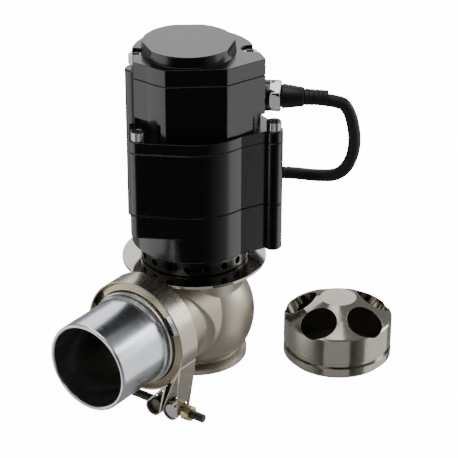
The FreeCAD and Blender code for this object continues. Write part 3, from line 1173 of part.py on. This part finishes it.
for i in range(int(SIZE["port_holes"])):
    turn = SIZE["port_hole_turn"] + (i + 0.5) * 360 / SIZE["port_holes"]
    low_reach = "sizes.port_hole_reach - 14 * sin(sizes.port_hole_tilt * 1 deg)"
    low_height = f"sizes.insert_side + {rise} * 0.3 - 14 * cos(sizes.port_hole_tilt * 1 deg)"
    hole = cylinder(f"port_hole_{i}", "sizes.port_hole_rad", "34",
                    about_z(str(turn), low_reach) + (low_height,),
                    Rotation(Vector(0, 0, 1), turn) * Rotation(Vector(0, 1, 0),
                                                               SIZE["port_hole_tilt"]))
    hole_tools.append(hole)
insert_cut = cut("insert_cut", insert, hole_tools)
place(insert_cut, ("sizes.insert_x", "sizes.insert_y", "sizes.insert_low"))
keep(insert_cut, "diffuser_insert")

doc.recompute()
for piece in doc.Objects:
    if "Invalid" in piece.State or "Error" in piece.State:
        raise RuntimeError(f"{piece.Name} is in state {piece.State}")
for piece in exports:
    shape = piece.Shape
    if shape.isNull() or not shape.isValid() or not shape.Solids:
        raise RuntimeError(f"{piece.Label} has no valid solid")
    shape.exportStep(f"parts/{piece.Label}.step")
print(len(exports), "nodes written")
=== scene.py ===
"""Looks of the anti-lag valve: a black electric actuator on a stainless poppet valve body."""
import math

import bpy
from mathutils import Matrix, Vector


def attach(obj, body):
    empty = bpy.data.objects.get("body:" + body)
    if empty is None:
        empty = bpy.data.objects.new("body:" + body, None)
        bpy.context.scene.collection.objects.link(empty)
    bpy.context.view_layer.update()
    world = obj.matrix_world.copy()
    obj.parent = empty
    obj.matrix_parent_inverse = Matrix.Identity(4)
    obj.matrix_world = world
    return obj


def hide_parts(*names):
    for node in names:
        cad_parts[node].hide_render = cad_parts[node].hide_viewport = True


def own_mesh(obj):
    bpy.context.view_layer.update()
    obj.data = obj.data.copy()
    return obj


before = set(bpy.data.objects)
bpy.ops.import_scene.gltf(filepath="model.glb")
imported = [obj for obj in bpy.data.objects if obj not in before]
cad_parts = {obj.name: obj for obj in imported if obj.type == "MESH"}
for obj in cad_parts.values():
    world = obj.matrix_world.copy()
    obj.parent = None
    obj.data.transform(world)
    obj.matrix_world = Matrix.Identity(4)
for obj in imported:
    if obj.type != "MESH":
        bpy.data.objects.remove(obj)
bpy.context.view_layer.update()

# The camera: a long lens from the front right, looking down on the valve by 27 degrees. Its
# focal length is counted in pixels of the photograph's frame, and its place starts from a
# point on the stem's axis.
frame_pixels = 458
focal_pixels = 1875.39
sensor_wide = 36
view_turn, view_tilt, view_roll = math.radians(35.62), math.radians(27.07), math.radians(-0.17)
view_start = Vector((0, 0, 0.1))
view_aside, view_drop, view_reach = 0.01928, 0.02073, 1.02537
back = Vector((math.sin(view_turn) * math.cos(view_tilt), -math.cos(view_turn) * math.cos(view_tilt),
               math.sin(view_tilt)))
right = Vector((math.cos(view_turn), math.sin(view_turn), 0))
up = back.cross(right)
camera_data = bpy.data.cameras.new("view_camera")
camera_data.sensor_width = sensor_wide
camera_data.lens = sensor_wide * focal_pixels / frame_pixels
camera = bpy.data.objects.new("view_camera", camera_data)
bpy.context.scene.collection.objects.link(camera)
camera.matrix_world = (
    Matrix.Translation(view_start + right * view_aside - up * view_drop + back * view_reach)
    @ Matrix((right, up, back)).transposed().to_4x4() @ Matrix.Rotation(-view_roll, 4, "Z"))
bpy.context.scene.camera = camera

# The valve body: an investment casting in stainless steel, bead-blasted to a warm satin grey
# that spreads its highlights wide. The spigot on its top centres the actuator.


def tone(code):
    """The linear colour of an sRGB hex code."""
    parts = [int(code[i:i + 2], 16) / 255 for i in (0, 2, 4)]
    return [p / 12.92 if p <= 0.04045 else ((p + 0.055) / 1.055) ** 2.4 for p in parts] + [1]


def add_node(material, kind, inputs, **settings):
    """Add a shader node. An input given as a node and an output's name is linked."""
    node = material.node_tree.nodes.new(kind)
    for name, value in settings.items():
        setattr(node, name, value)
    for name, value in inputs.items():
        if isinstance(value, tuple) and isinstance(value[0], bpy.types.Node):
            material.node_tree.links.new(value[0].outputs[value[1]], node.inputs[name])
        else:
            node.inputs[name].default_value = value
    return node


def surface(name, light, dark, metal, rough, grain, depth, stretch=(1, 1, 1), edge=0.0003):
    """A finish whose gloss and relief vary over grains of a size in metres, and its tone more widely.

    Grinding, drawing and moulding leave marks of 0.02 to 0.2 mm, and one pixel spans 0.55 mm.
    So the grains are drawn 0.6 to 1.5 mm wide, which is as coarse as they need to show.
    """
    cloud = 1 / 70
    material = bpy.data.materials.new(name)
    material.use_nodes = True
    shader = material.node_tree.nodes["Principled BSDF"]
    shader.inputs["Metallic"].default_value = metal
    spot = add_node(material, "ShaderNodeTexCoord", {})
    drawn = add_node(material, "ShaderNodeMapping", {"Vector": (spot, "Object"), "Scale": stretch})
    grains = add_node(material, "ShaderNodeTexNoise",
                      {"Vector": (drawn, "Vector"), "Scale": 1 / grain, "Detail": 4})
    clouds = add_node(material, "ShaderNodeTexNoise",
                      {"Vector": (spot, "Object"), "Scale": 1 / cloud, "Detail": 3})
    tint = add_node(material, "ShaderNodeMixRGB",
                    {"Fac": (clouds, "Fac"), "Color1": tone(light), "Color2": tone(dark)})
    gloss = add_node(material, "ShaderNodeMapRange",
                     {"Value": (grains, "Fac"), "From Min": 0.3, "From Max": 0.7,
                      "To Min": rough[0], "To Max": rough[1]})
    rounded = add_node(material, "ShaderNodeBevel", {"Radius": edge}, samples=4)
    relief = add_node(material, "ShaderNodeBump",
                      {"Height": (grains, "Fac"), "Strength": 0.6, "Distance": depth,
                       "Normal": (rounded, "Normal")})
    for node, output, socket in ((tint, "Color", "Base Color"), (gloss, "Result", "Roughness"),
                                 (relief, "Normal", "Normal")):
        material.node_tree.links.new(node.outputs[output], shader.inputs[socket])
    return material


def dress(material, *names):
    """Give CAD nodes their finish."""
    for name in names:
        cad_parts[name].data.materials.clear()
        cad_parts[name].data.materials.append(material)


# Blasting leaves dents of 0.1 mm. They are drawn 1 mm wide, the smallest that shows here.
dress(surface("bead-blasted cast stainless steel", "C2BBAC", "B0A99A", 1, (0.36, 0.46),
              0.0010, 0.00004, edge=0.0015), "valve_body")

# The running gear: a poppet valve, its seat ring, the hollow rotor shaft and the lead screw, of
# hardened steel, ground all round to a bright fine-lined finish.
ground_steel = surface("ground hardened steel", "B4B3B0", "9D9C99", 1, (0.18, 0.28), 0.0006,
                       0.00001, (8, 8, 1))
dress(ground_steel, "valve_seat", "poppet_valve", "rotor_shaft", "lead_screw", "spring_seat")

# The return spring: drawn steel wire wound on a mandrel. It presses the valve down on its seat,
# and shortens as the valve lifts, which the solid in the frame can't do.
wire_rad = 0.0009
coil_rad = 0.0155
coil_foot = 0.0804
coil_rise = 0.0186
coil_turns = 4.5
steps_per_turn = 60
bpy.ops.object.select_all(action="DESELECT")
bpy.ops.mesh.primitive_circle_add(vertices=16, radius=wire_rad, location=(coil_rad, 0, coil_foot),
                                  rotation=(math.radians(90), 0, 0))
coil = bpy.context.object
coil.name = "wound_spring"
bpy.ops.object.transform_apply(location=True, rotation=True, scale=True)
winding = coil.modifiers.new("winding", "SCREW")
winding.angle = math.radians(360 * coil_turns)
winding.screw_offset = coil_rise
winding.steps = round(coil_turns * steps_per_turn)
winding.render_steps = winding.steps
bpy.ops.object.modifier_apply(modifier=winding.name)
bpy.ops.object.mode_set(mode="EDIT")
bpy.ops.mesh.select_all(action="SELECT")
bpy.ops.mesh.fill_holes(sides=0)
bpy.ops.mesh.normals_make_consistent(inside=False)
bpy.ops.object.mode_set(mode="OBJECT")
bpy.ops.object.shade_smooth_by_angle(angle=math.radians(40))
coil.data.materials.append(surface("drawn spring steel", "77777A", "5C5C60", 1, (0.25, 0.4),
                                   0.0008, 0.00001))
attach(coil, "valve")
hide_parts("return_spring")
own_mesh(coil)

# The stem's bush and the seals: a bush turned from bronze and pressed into the body, and two
# moulded rings of dull black rubber.
dress(surface("machined bronze", "A87F4C", "8E6638", 1, (0.2, 0.35), 0.0008, 0.00001, (1, 1, 6)),
      "guide_bush")
dress(surface("fluorocarbon seal rubber", "1B1B1D", "121213", 0, (0.5, 0.65), 0.0012, 0.00003),
      "stem_seal", "inlet_gasket")

# The heat shield: a disc pressed from thin stainless sheet and polished, so it mirrors the
# valve body below it and the collar above it.
dress(surface("polished stainless sheet", "C6C1B6", "B3AEA3", 1, (0.07, 0.13), 0.0015, 0.000006),
      "heat_shield")

# The actuator's housings and its locking collar: aluminium, milled, fine-blasted and anodised
# black. The dye gives a deep black, and the sealed oxide over it a satin gloss.
anodised = surface("black anodised aluminium", "050506", "08080A", 0, (0.17, 0.24), 0.0009,
                   0.000008, edge=0.00045)
anodised.node_tree.nodes["Principled BSDF"].inputs["Specular IOR Level"].default_value = 1
dress(anodised, "locking_collar", "spring_housing", "motor_housing", "bearing_plate",
      "electronics_housing", "top_cap")

# The motor inside: a stack of stator laminations with varnished copper windings, and a rotor of
# plated magnets that runs in two ball bearings. None of it shows from outside.
dress(surface("stacked electrical steel", "70757A", "5A5F64", 1, (0.35, 0.5), 0.0007, 0.00004,
              (1, 1, 20)), "stator")
dress(surface("varnished copper wire", "A9623A", "84452A", 1, (0.25, 0.4), 0.0009, 0.00008,
              (1, 1, 5)), "lower_windings", "upper_windings")
dress(surface("nickel-plated magnet", "86868A", "747478", 1, (0.2, 0.3), 0.0010, 0.00001),
      "rotor_magnets", "position_magnet")
bright_steel = surface("bright bearing steel", "C4C4C2", "B2B2B0", 1, (0.12, 0.22), 0.0006,
                       0.000006)
dress(bright_steel, "lower_bearing", "upper_bearing")

# The drive board: a glass-fibre board under a satin green solder mask, held to turned brass
# posts by bright screws. Its capacitors are bright metal cans, and its sensor is moulded in
# black nylon, as the lead's connector is.
dress(surface("solder-masked circuit board", "1F5A36", "194B2D", 0, (0.3, 0.4), 0.0012, 0.00003),
      "drive_board")
dress(surface("turned brass", "B7924F", "A07D41", 1, (0.2, 0.3), 0.0008, 0.00001), "board_posts")
black_nylon = surface("moulded black nylon", "161618", "101012", 0, (0.36, 0.5), 0.0009, 0.00002)
dress(black_nylon, "position_sensor", "lead_connector")
dress(bright_steel, "board_screws", "board_capacitors")

# The socket head screws: M5, stainless steel, cold-headed and left bright. Four hold the cap,
# and three long ones clamp the housings through the lugs.
screw_rad = 0.00248
head_rad = 0.00425
head_high = 0.005
socket_rad = 0.0023
socket_floor = 0.0024
knurl_turn = 15
knurl_share = 0.955


def lay(piece, spot, way=(0, 0, 1)):
    """Set a piece that was made upright at the origin on its place, facing its way."""
    bpy.ops.object.select_all(action="DESELECT")
    piece.select_set(True)
    bpy.context.view_layer.objects.active = piece
    piece.rotation_euler = Vector(way).to_track_quat("Z", "Y").to_euler()
    piece.location = spot
    bpy.ops.object.transform_apply(location=True, rotation=True, scale=True)
    return piece


def bar(name, radius, low, high, corner=0, sides=48):
    """An upright round or many-sided bar between two heights, with its end rims broken."""
    bpy.ops.object.select_all(action="DESELECT")
    bpy.ops.mesh.primitive_cylinder_add(vertices=sides, radius=radius, depth=high - low,
                                        location=(0, 0, (low + high) / 2))
    piece = bpy.context.object
    piece.name = name
    bpy.ops.object.transform_apply(location=True, rotation=True, scale=True)
    if corner:
        rims = piece.modifiers.new("rims", "BEVEL")
        rims.limit_method = "ANGLE"
        rims.angle_limit = math.radians(70)
        rims.width = corner
        rims.segments = 3
        bpy.ops.object.modifier_apply(modifier=rims.name)
    return piece


def trim(piece, tool, operation="DIFFERENCE"):
    """Cut one piece by another, which is used up."""
    bpy.ops.object.select_all(action="DESELECT")
    bpy.context.view_layer.objects.active = piece
    shaper = piece.modifiers.new("shaper", "BOOLEAN")
    shaper.operation = operation
    shaper.object = tool
    bpy.ops.object.modifier_apply(modifier=shaper.name)
    bpy.data.objects.remove(tool)
    return piece


def gather(name, pieces):
    """Join pieces into one, smooth its round faces and keep its corners."""
    bpy.ops.object.select_all(action="DESELECT")
    for piece in pieces:
        piece.select_set(True)
    bpy.context.view_layer.objects.active = pieces[0]
    if len(pieces) > 1:
        bpy.ops.object.join()
    whole = bpy.context.object
    whole.name = name
    bpy.ops.object.shade_smooth_by_angle(angle=math.radians(32))
    return whole


def narrow(piece, share):
    """Draw the chosen points of an upright piece in towards its axis."""
    bpy.ops.object.mode_set(mode="EDIT")
    bpy.ops.transform.resize(value=(share, share, 1))
    bpy.ops.object.mode_set(mode="OBJECT")
    return piece


def knurled_screw(name, long):
    """A socket head screw, its head's seat at height zero: straight knurl, hexagon socket."""
    head = bar(name, head_rad, 0, head_high)
    for vertex in head.data.vertices:
        vertex.select = math.degrees(math.atan2(vertex.co.y, vertex.co.x)) % knurl_turn < 3
    socket_top = head_high + 0.0012
    head = trim(narrow(head, knurl_share), bar("socket", socket_rad, socket_floor, socket_top, sides=6))
    return gather(name, [head, bar("shank", screw_rad, -long, 0.0002, 0.0004, 24)])


cold_headed = surface("bright cold-headed stainless steel", "CDCCC8", "BAB9B5", 1, (0.12, 0.24),
                      0.0008, 0.00001)

# Each kind of screw: its name, its seat's height, its length, its node, and the turn in degrees
# and the reach from the axis of each one.
bright_screws = []
for name, seat, long, node, places in (
        ("cap_screw", 0.1762, 0.010, "cap_screws",
         [(40, 0.0302), (-140, 0.0302), (100, 0.0302), (-200, 0.0302)]),
        ("housing_bolt", 0.1428, 0.052, "housing_bolts",
         [(18.5, 0.045), (-101, 0.039), (138, 0.041)])):
    first = knurled_screw(name, long)
    first.data.materials.append(cold_headed)
    screws = [first]
    while len(screws) < len(places):
        copy = first.copy()
        copy.data = first.data.copy()
        bpy.context.scene.collection.objects.link(copy)
        screws.append(copy)
    for screw, (turn, reach) in zip(screws, places):
        angle = math.radians(turn)
        lay(screw, (reach * math.cos(angle), reach * math.sin(angle), seat))
    screws = gather(name + "s", screws)
    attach(screws, "actuator")
    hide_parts(node)
    bright_screws.append(screws)

# The cable gland: a nickel-plated brass hexagon with chamfered corners, screwed into the
# housing, and a black nylon dome nut that grips the cable. Each is made upright at the origin
# and then laid on the gland's line, at its distance from the stem's axis.
gland_height = 0.1585
gland_way = Vector((math.cos(math.radians(30)), math.sin(math.radians(30)), 0))
cable_hole = 0.0035
gland_flat = 0.0079
gland_thick = 0.0056
gland_face = 0.04125
gland_thread_rad = 0.005
gland_thread_low, gland_thread_high = 0.0271, 0.0415
dome_rad = 0.0066
dome_low, dome_high = 0.0469, 0.0595
dome_shoulder = 0.0578


def drill(piece, radius, low, high):
    """Bore an upright piece through along its axis, a little past both its faces."""
    past = 0.001
    return trim(piece, bar("bore", radius, low - past, high + past, sides=32))


def hexagon_nut(name, half_flat, thick, hole, low=0):
    """An upright hexagon nut with its corners turned off at both faces."""
    nut = bar(name, half_flat / math.cos(math.radians(30)), low, low + thick, sides=6)
    turned = bar("turned", half_flat * 1.145, low, low + thick, half_flat * 0.14)
    return drill(trim(nut, turned, "INTERSECT"), hole, low, low + thick)


gland_hexagon = hexagon_nut("gland_nut", gland_flat, gland_thick, cable_hole, gland_face)
gland_thread = drill(bar("gland_thread", gland_thread_rad, gland_thread_low, gland_thread_high,
                         0.0004, 32), cable_hole, gland_thread_low, gland_thread_high)
gland_nut = lay(gather("gland_nut_plated", [gland_hexagon, gland_thread]), (0, 0, gland_height),
                gland_way)
gland_nut.data.materials.append(surface("nickel-plated brass", "DADAD8", "C8C8C6", 1,
                                        (0.06, 0.13), 0.0012, 0.000005))
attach(gland_nut, "actuator")
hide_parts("gland_nut")
dome = bar("dome", dome_rad, dome_low, dome_high, 0.0016)
for vertex in dome.data.vertices:
    vertex.select = vertex.co.z > dome_shoulder
dome = drill(narrow(dome, 0.8), cable_hole, dome_low, dome_high)
dome = lay(gather("gland_dome", [dome]), (0, 0, gland_height), gland_way)
dome.data.materials.append(black_nylon)
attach(dome, "actuator")
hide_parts("gland_cap")

# The strain relief: a moulded rubber sleeve of dull black rings, which grow smaller along the
# cable so that it bends gently.
sleeve_start = 0.0596
sleeve_rad = 0.0044
ring_step = 0.0025
ring_long = 0.0024
ring_taper = 0.00008
sleeve_rings = []
for count in range(5):
    low = sleeve_start + count * ring_step
    ring = bar("sleeve_ring", sleeve_rad - count * ring_taper, low, low + ring_long, 0.0003, 40)
    sleeve_rings.append(drill(ring, cable_hole, low, low + ring_long))
sleeve = lay(gather("strain_relief", sleeve_rings), (0, 0, gland_height), gland_way)
sleeve.data.materials.append(surface("moulded black rubber", "1A1A1C", "131315", 0, (0.45, 0.6),
                                     0.0010, 0.00003))
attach(sleeve, "actuator")
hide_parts("lead_sleeve")

# The lead: a round cable in a dull black braided sleeve. It leaves the gland, drops, swings
# behind the actuator and hangs to a six-way connector, whose pins are yellow-plated steel.
lead_rad = 0.0034
lead_points = [(0.028146, 0.01625, 0.1585), (0.0662, 0.0382, 0.1585), (0.0729, 0.0422, 0.1516),
               (0.075, 0.0456, 0.129), (0.0675, 0.0442, 0.1114), (0.051, 0.042, 0.1076),
               (0.035, 0.0465, 0.103), (0.017, 0.0525, 0.096), (0.002, 0.0575, 0.089),
               (-0.016, 0.057, 0.080), (-0.016, 0.057, 0.062)]
lead_curve = bpy.data.curves.new("cable_sheath", "CURVE")
lead_curve.dimensions = "3D"
lead_curve.bevel_depth = lead_rad
lead_curve.bevel_resolution = 6
lead_curve.resolution_u = 24
lead_line = lead_curve.splines.new("NURBS")
lead_line.points.add(len(lead_points) - 1)
for point, place in zip(lead_line.points, lead_points):
    point.co = (*place, 1)
lead_line.order_u = 3
lead_line.use_endpoint_u = True
lead = bpy.data.objects.new("cable_sheath", lead_curve)
bpy.context.scene.collection.objects.link(lead)
# The braid's strands are 0.5 mm wide. They are drawn 1 mm wide, the smallest that shows here.
lead_curve.materials.append(surface("black braided sleeve", "1C1C1F", "0F0F11", 0, (0.45, 0.65),
                                    0.0010, 0.0002))
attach(lead, "actuator")
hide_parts("lead_cable")
yellow_plate = surface("yellow-plated steel", "D2C39B", "BBA97C", 1, (0.2, 0.32), 0.0012, 0.00002)
dress(yellow_plate, "connector_pins")

# The hose adaptor: an aluminium tube with a flange, turned and polished to a cool bright sheen.
# Fine turning lines run round it, 0.2 mm apart. They are drawn 0.7 mm apart, the closest that
# shows here.
dress(surface("polished turned aluminium", "E4E8EE", "D3D8E0", 1, (0.17, 0.26), 0.0007, 0.000003,
              (0.15, 1, 0.15)), "hose_adaptor")

# The clamp: a band of rolled stainless strip, spot-welded to V retainers that draw the flanges
# together. Its ends are folded into loops round two cross pins. The retainers have a faint
# straw tint.
dress(surface("rolled stainless strip", "C4BEB0", "B2AC9E", 1, (0.22, 0.32), 0.0012, 0.000004,
              (1, 0.2, 1)), "clamp_band")
dress(surface("rolled straw-coloured stainless", "C9BFA2", "B3A98C", 1, (0.22, 0.32), 0.0012,
              0.000004, (1, 0.2, 1)), "v_retainers")
dress(ground_steel, "trunnion")

# The clamp bolt: dark stainless steel, a threaded rod with a cross pin near its middle. The
# M5 thread is rolled, with a pitch of 0.8 mm.
pitch = 0.0008
ridges = 62
root_rad = 0.00208
pin_rad = 0.0041
pin_half = 0.0047
clamp_line = (-0.0472, -0.0073)
thread_start, pin_place, nut_place = -0.0085, 0.0116, 0.0281
bpy.ops.object.select_all(action="DESELECT")
bpy.ops.mesh.primitive_cone_add(vertices=24, radius1=root_rad, radius2=screw_rad, depth=pitch / 2,
                                end_fill_type="NOTHING", location=(0, 0, pitch / 4))
rising = bpy.context.object
bpy.ops.mesh.primitive_cone_add(vertices=24, radius1=screw_rad, radius2=root_rad, depth=pitch / 2,
                                end_fill_type="NOTHING", location=(0, 0, pitch * 3 / 4))
thread = gather("thread", [bpy.context.object, rising])
bpy.ops.object.transform_apply(location=True, rotation=True, scale=True)
rows = thread.modifiers.new("rows", "ARRAY")
rows.count = ridges
rows.use_relative_offset = False
rows.use_constant_offset = True
rows.constant_offset_displace = (0, 0, pitch)
rows.use_merge_vertices = True
rows.merge_threshold = 0.00001
bpy.ops.object.modifier_apply(modifier=rows.name)
bpy.ops.object.mode_set(mode="EDIT")
bpy.ops.mesh.select_all(action="SELECT")
bpy.ops.mesh.remove_doubles(threshold=0.00001)
bpy.ops.mesh.fill_holes(sides=0)
bpy.ops.mesh.normals_make_consistent(inside=False)
bpy.ops.object.mode_set(mode="OBJECT")
lay(thread, (thread_start, *clamp_line), (1, 0, 0))
cross_pin = lay(bar("cross_pin", pin_rad, -pin_half, pin_half, 0.0005), (pin_place, *clamp_line),
                (0, 1, 0))
clamp_bolt = gather("clamp_bolt", [thread, cross_pin])
clamp_bolt.data.materials.append(surface("dark stainless thread", "6A655C", "4C4840", 1,
                                         (0.28, 0.42), 0.0010, 0.00002))
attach(clamp_bolt, "valve_assembly")
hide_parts("t_bolt")

# The clamp nut: an M5 hexagon nut, 8 mm across flats, of steel with a warm yellow plating. It
# is tightened on the clamp bolt to draw the band round the flanges.
nut_flat = 0.004
nut_thick = 0.005
nut_hole = 0.00255
clamp_nut = lay(gather("plated_nut", [hexagon_nut("plated_nut", nut_flat, nut_thick, nut_hole)]),
                (nut_place, *clamp_line), (1, 0, 0))
clamp_nut.data.materials.append(yellow_plate)
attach(clamp_nut, "clamp_nut")
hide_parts("clamp_nut")

# The diffuser insert: turned from stainless bar and polished to a mirror with faint lines, with
# five gas ports bored square to its shoulder. It stands loose beside the valve.
dress(surface("polished turned stainless", "B8B3A6", "A39E92", 1, (0.12, 0.20), 0.0010, 0.000003,
              (0.3, 0.3, 1)), "diffuser_insert")

# The studio: a pale floor that glows by itself, a dark disc of painted shade in the open cup
# under the insert, which stands in for the shade the insert casts inside it, and soft lights at
# both sides, behind and above. The side lights reach down past the floor's level, so the
# upright faces mirror them and not the floor.
floor_height = -0.0126
shade_disc_place = (0.0567, 0.0619, -0.01248)
bpy.ops.object.select_all(action="DESELECT")
bpy.ops.mesh.primitive_plane_add(size=8, location=(0, 0, floor_height))
floor = bpy.context.object
floor.name = "studio_floor"
pale = bpy.data.materials.new("pale studio paper")
pale.use_nodes = True
paper = pale.node_tree.nodes["Principled BSDF"].inputs
paper["Base Color"].default_value = tone("FAFAFA")
paper["Roughness"].default_value = 1
paper["Specular IOR Level"].default_value = 0
paper["Emission Color"].default_value = tone("FFFFFF")
paper["Emission Strength"].default_value = 14
floor.data.materials.append(pale)
floor.visible_glossy = False
floor.visible_diffuse = False
floor.visible_shadow = False
# Painted shade: a dark disc laid just over the glowing floor inside the insert's cup, where the
# insert's own shade would fall.
bpy.ops.mesh.primitive_cylinder_add(vertices=64, radius=0.0275, depth=0.0001, location=shade_disc_place)
shade_disc = bpy.context.object
shade_disc.name = "painted_shade_disc"
shade_disc.data.materials.append(surface("painted shade in the insert cup", "3A3833", "2B2925", 0, (0.9, 1.0), 0.0012, 0.00002))


def softbox(name, place, way, wide, high, glow):
    """A soft light with its back turned the given way. Its glow is its radiance."""
    light_data = bpy.data.lights.new(name, "AREA")
    light_data.shape = "RECTANGLE"
    light_data.size = wide
    light_data.size_y = high
    light_data.energy = glow * math.pi * wide * high
    light = bpy.data.objects.new(name, light_data)
    bpy.context.scene.collection.objects.link(light)
    light.location = place
    light.rotation_euler = way.to_track_quat("Z", "Y").to_euler()
    light.visible_camera = False
    return light


# Each softbox: its name, its turn and tilt in degrees and its reach as seen from the valve, its
# width and height, and its glow.
for name, turn, tilt, reach, wide, high, glow in (
        ("right_softbox", 38, -14, 0.52, 0.50, 0.52, 0.9),
        ("left_softbox", -135, -14, 0.52, 0.66, 0.52, 0.9),
        ("back_softbox", 125.6, 27, 0.95, 0.90, 0.60, 1.4),
        ("key_softbox", 52, 16, 0.62, 0.26, 0.30, 4.5),
        ("top_softbox", -130, 78, 1.0, 0.80, 0.80, 2.0)):
    turn, tilt = math.radians(turn), math.radians(tilt)
    way = Vector((math.cos(turn) * math.cos(tilt), math.sin(turn) * math.cos(tilt), math.sin(tilt)))
    softbox(name, Vector((0, 0, 0.09)) + way * reach, way, wide, high, glow)

# Two front lights are flagged off the black housings, so they shine on the bare metal alone.
bare_metal = bpy.data.collections.new("bare_metal")
bare_nodes = ("valve_body", "hose_adaptor", "clamp_band", "v_retainers", "diffuser_insert",
              "heat_shield", "trunnion")
for piece in [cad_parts[name] for name in bare_nodes] + [clamp_bolt, clamp_nut, gland_nut,
                                                              *bright_screws]:
    bare_metal.objects.link(piece)
for name, place, wide, glow in (("front_fill", (0.40, -0.50, -0.26), 0.62, 0.45),
                                ("bore_fill", (0.1, -0.62, 0.22), 0.3, 1.6)):
    light = softbox(name, place, Vector(place) - Vector((0, 0, 0.03)), wide, wide, glow)
    light.light_linking.receiver_collection = bare_metal

# The room: an even white to dull faces. Glossy faces mirror it dimmer, and almost black at the
# front, where a screen stands.
front = (0.5824, -0.8129, 0)
world = bpy.data.worlds.new("studio_room")
world.use_nodes = True
room = world.node_tree.nodes["Background"]
room.inputs["Color"].default_value = tone("FFFFFF")
ray = add_node(world, "ShaderNodeLightPath", {})
around = add_node(world, "ShaderNodeTexCoord", {})
facing = add_node(world, "ShaderNodeVectorMath", {0: (around, "Generated"), 1: front},
                  operation="DOT_PRODUCT")
screen = add_node(world, "ShaderNodeMapRange", {"Value": (facing, "Value"), "From Min": 0.45,
                                                "From Max": 0.8, "To Min": 0.28, "To Max": 0.015})
dimmed = add_node(world, "ShaderNodeMapRange", {"Value": (ray, "Is Glossy Ray"), "To Min": 0.6,
                                                "To Max": (screen, "Result")})
world.node_tree.links.new(dimmed.outputs["Result"], room.inputs["Strength"])
bpy.context.scene.world = world
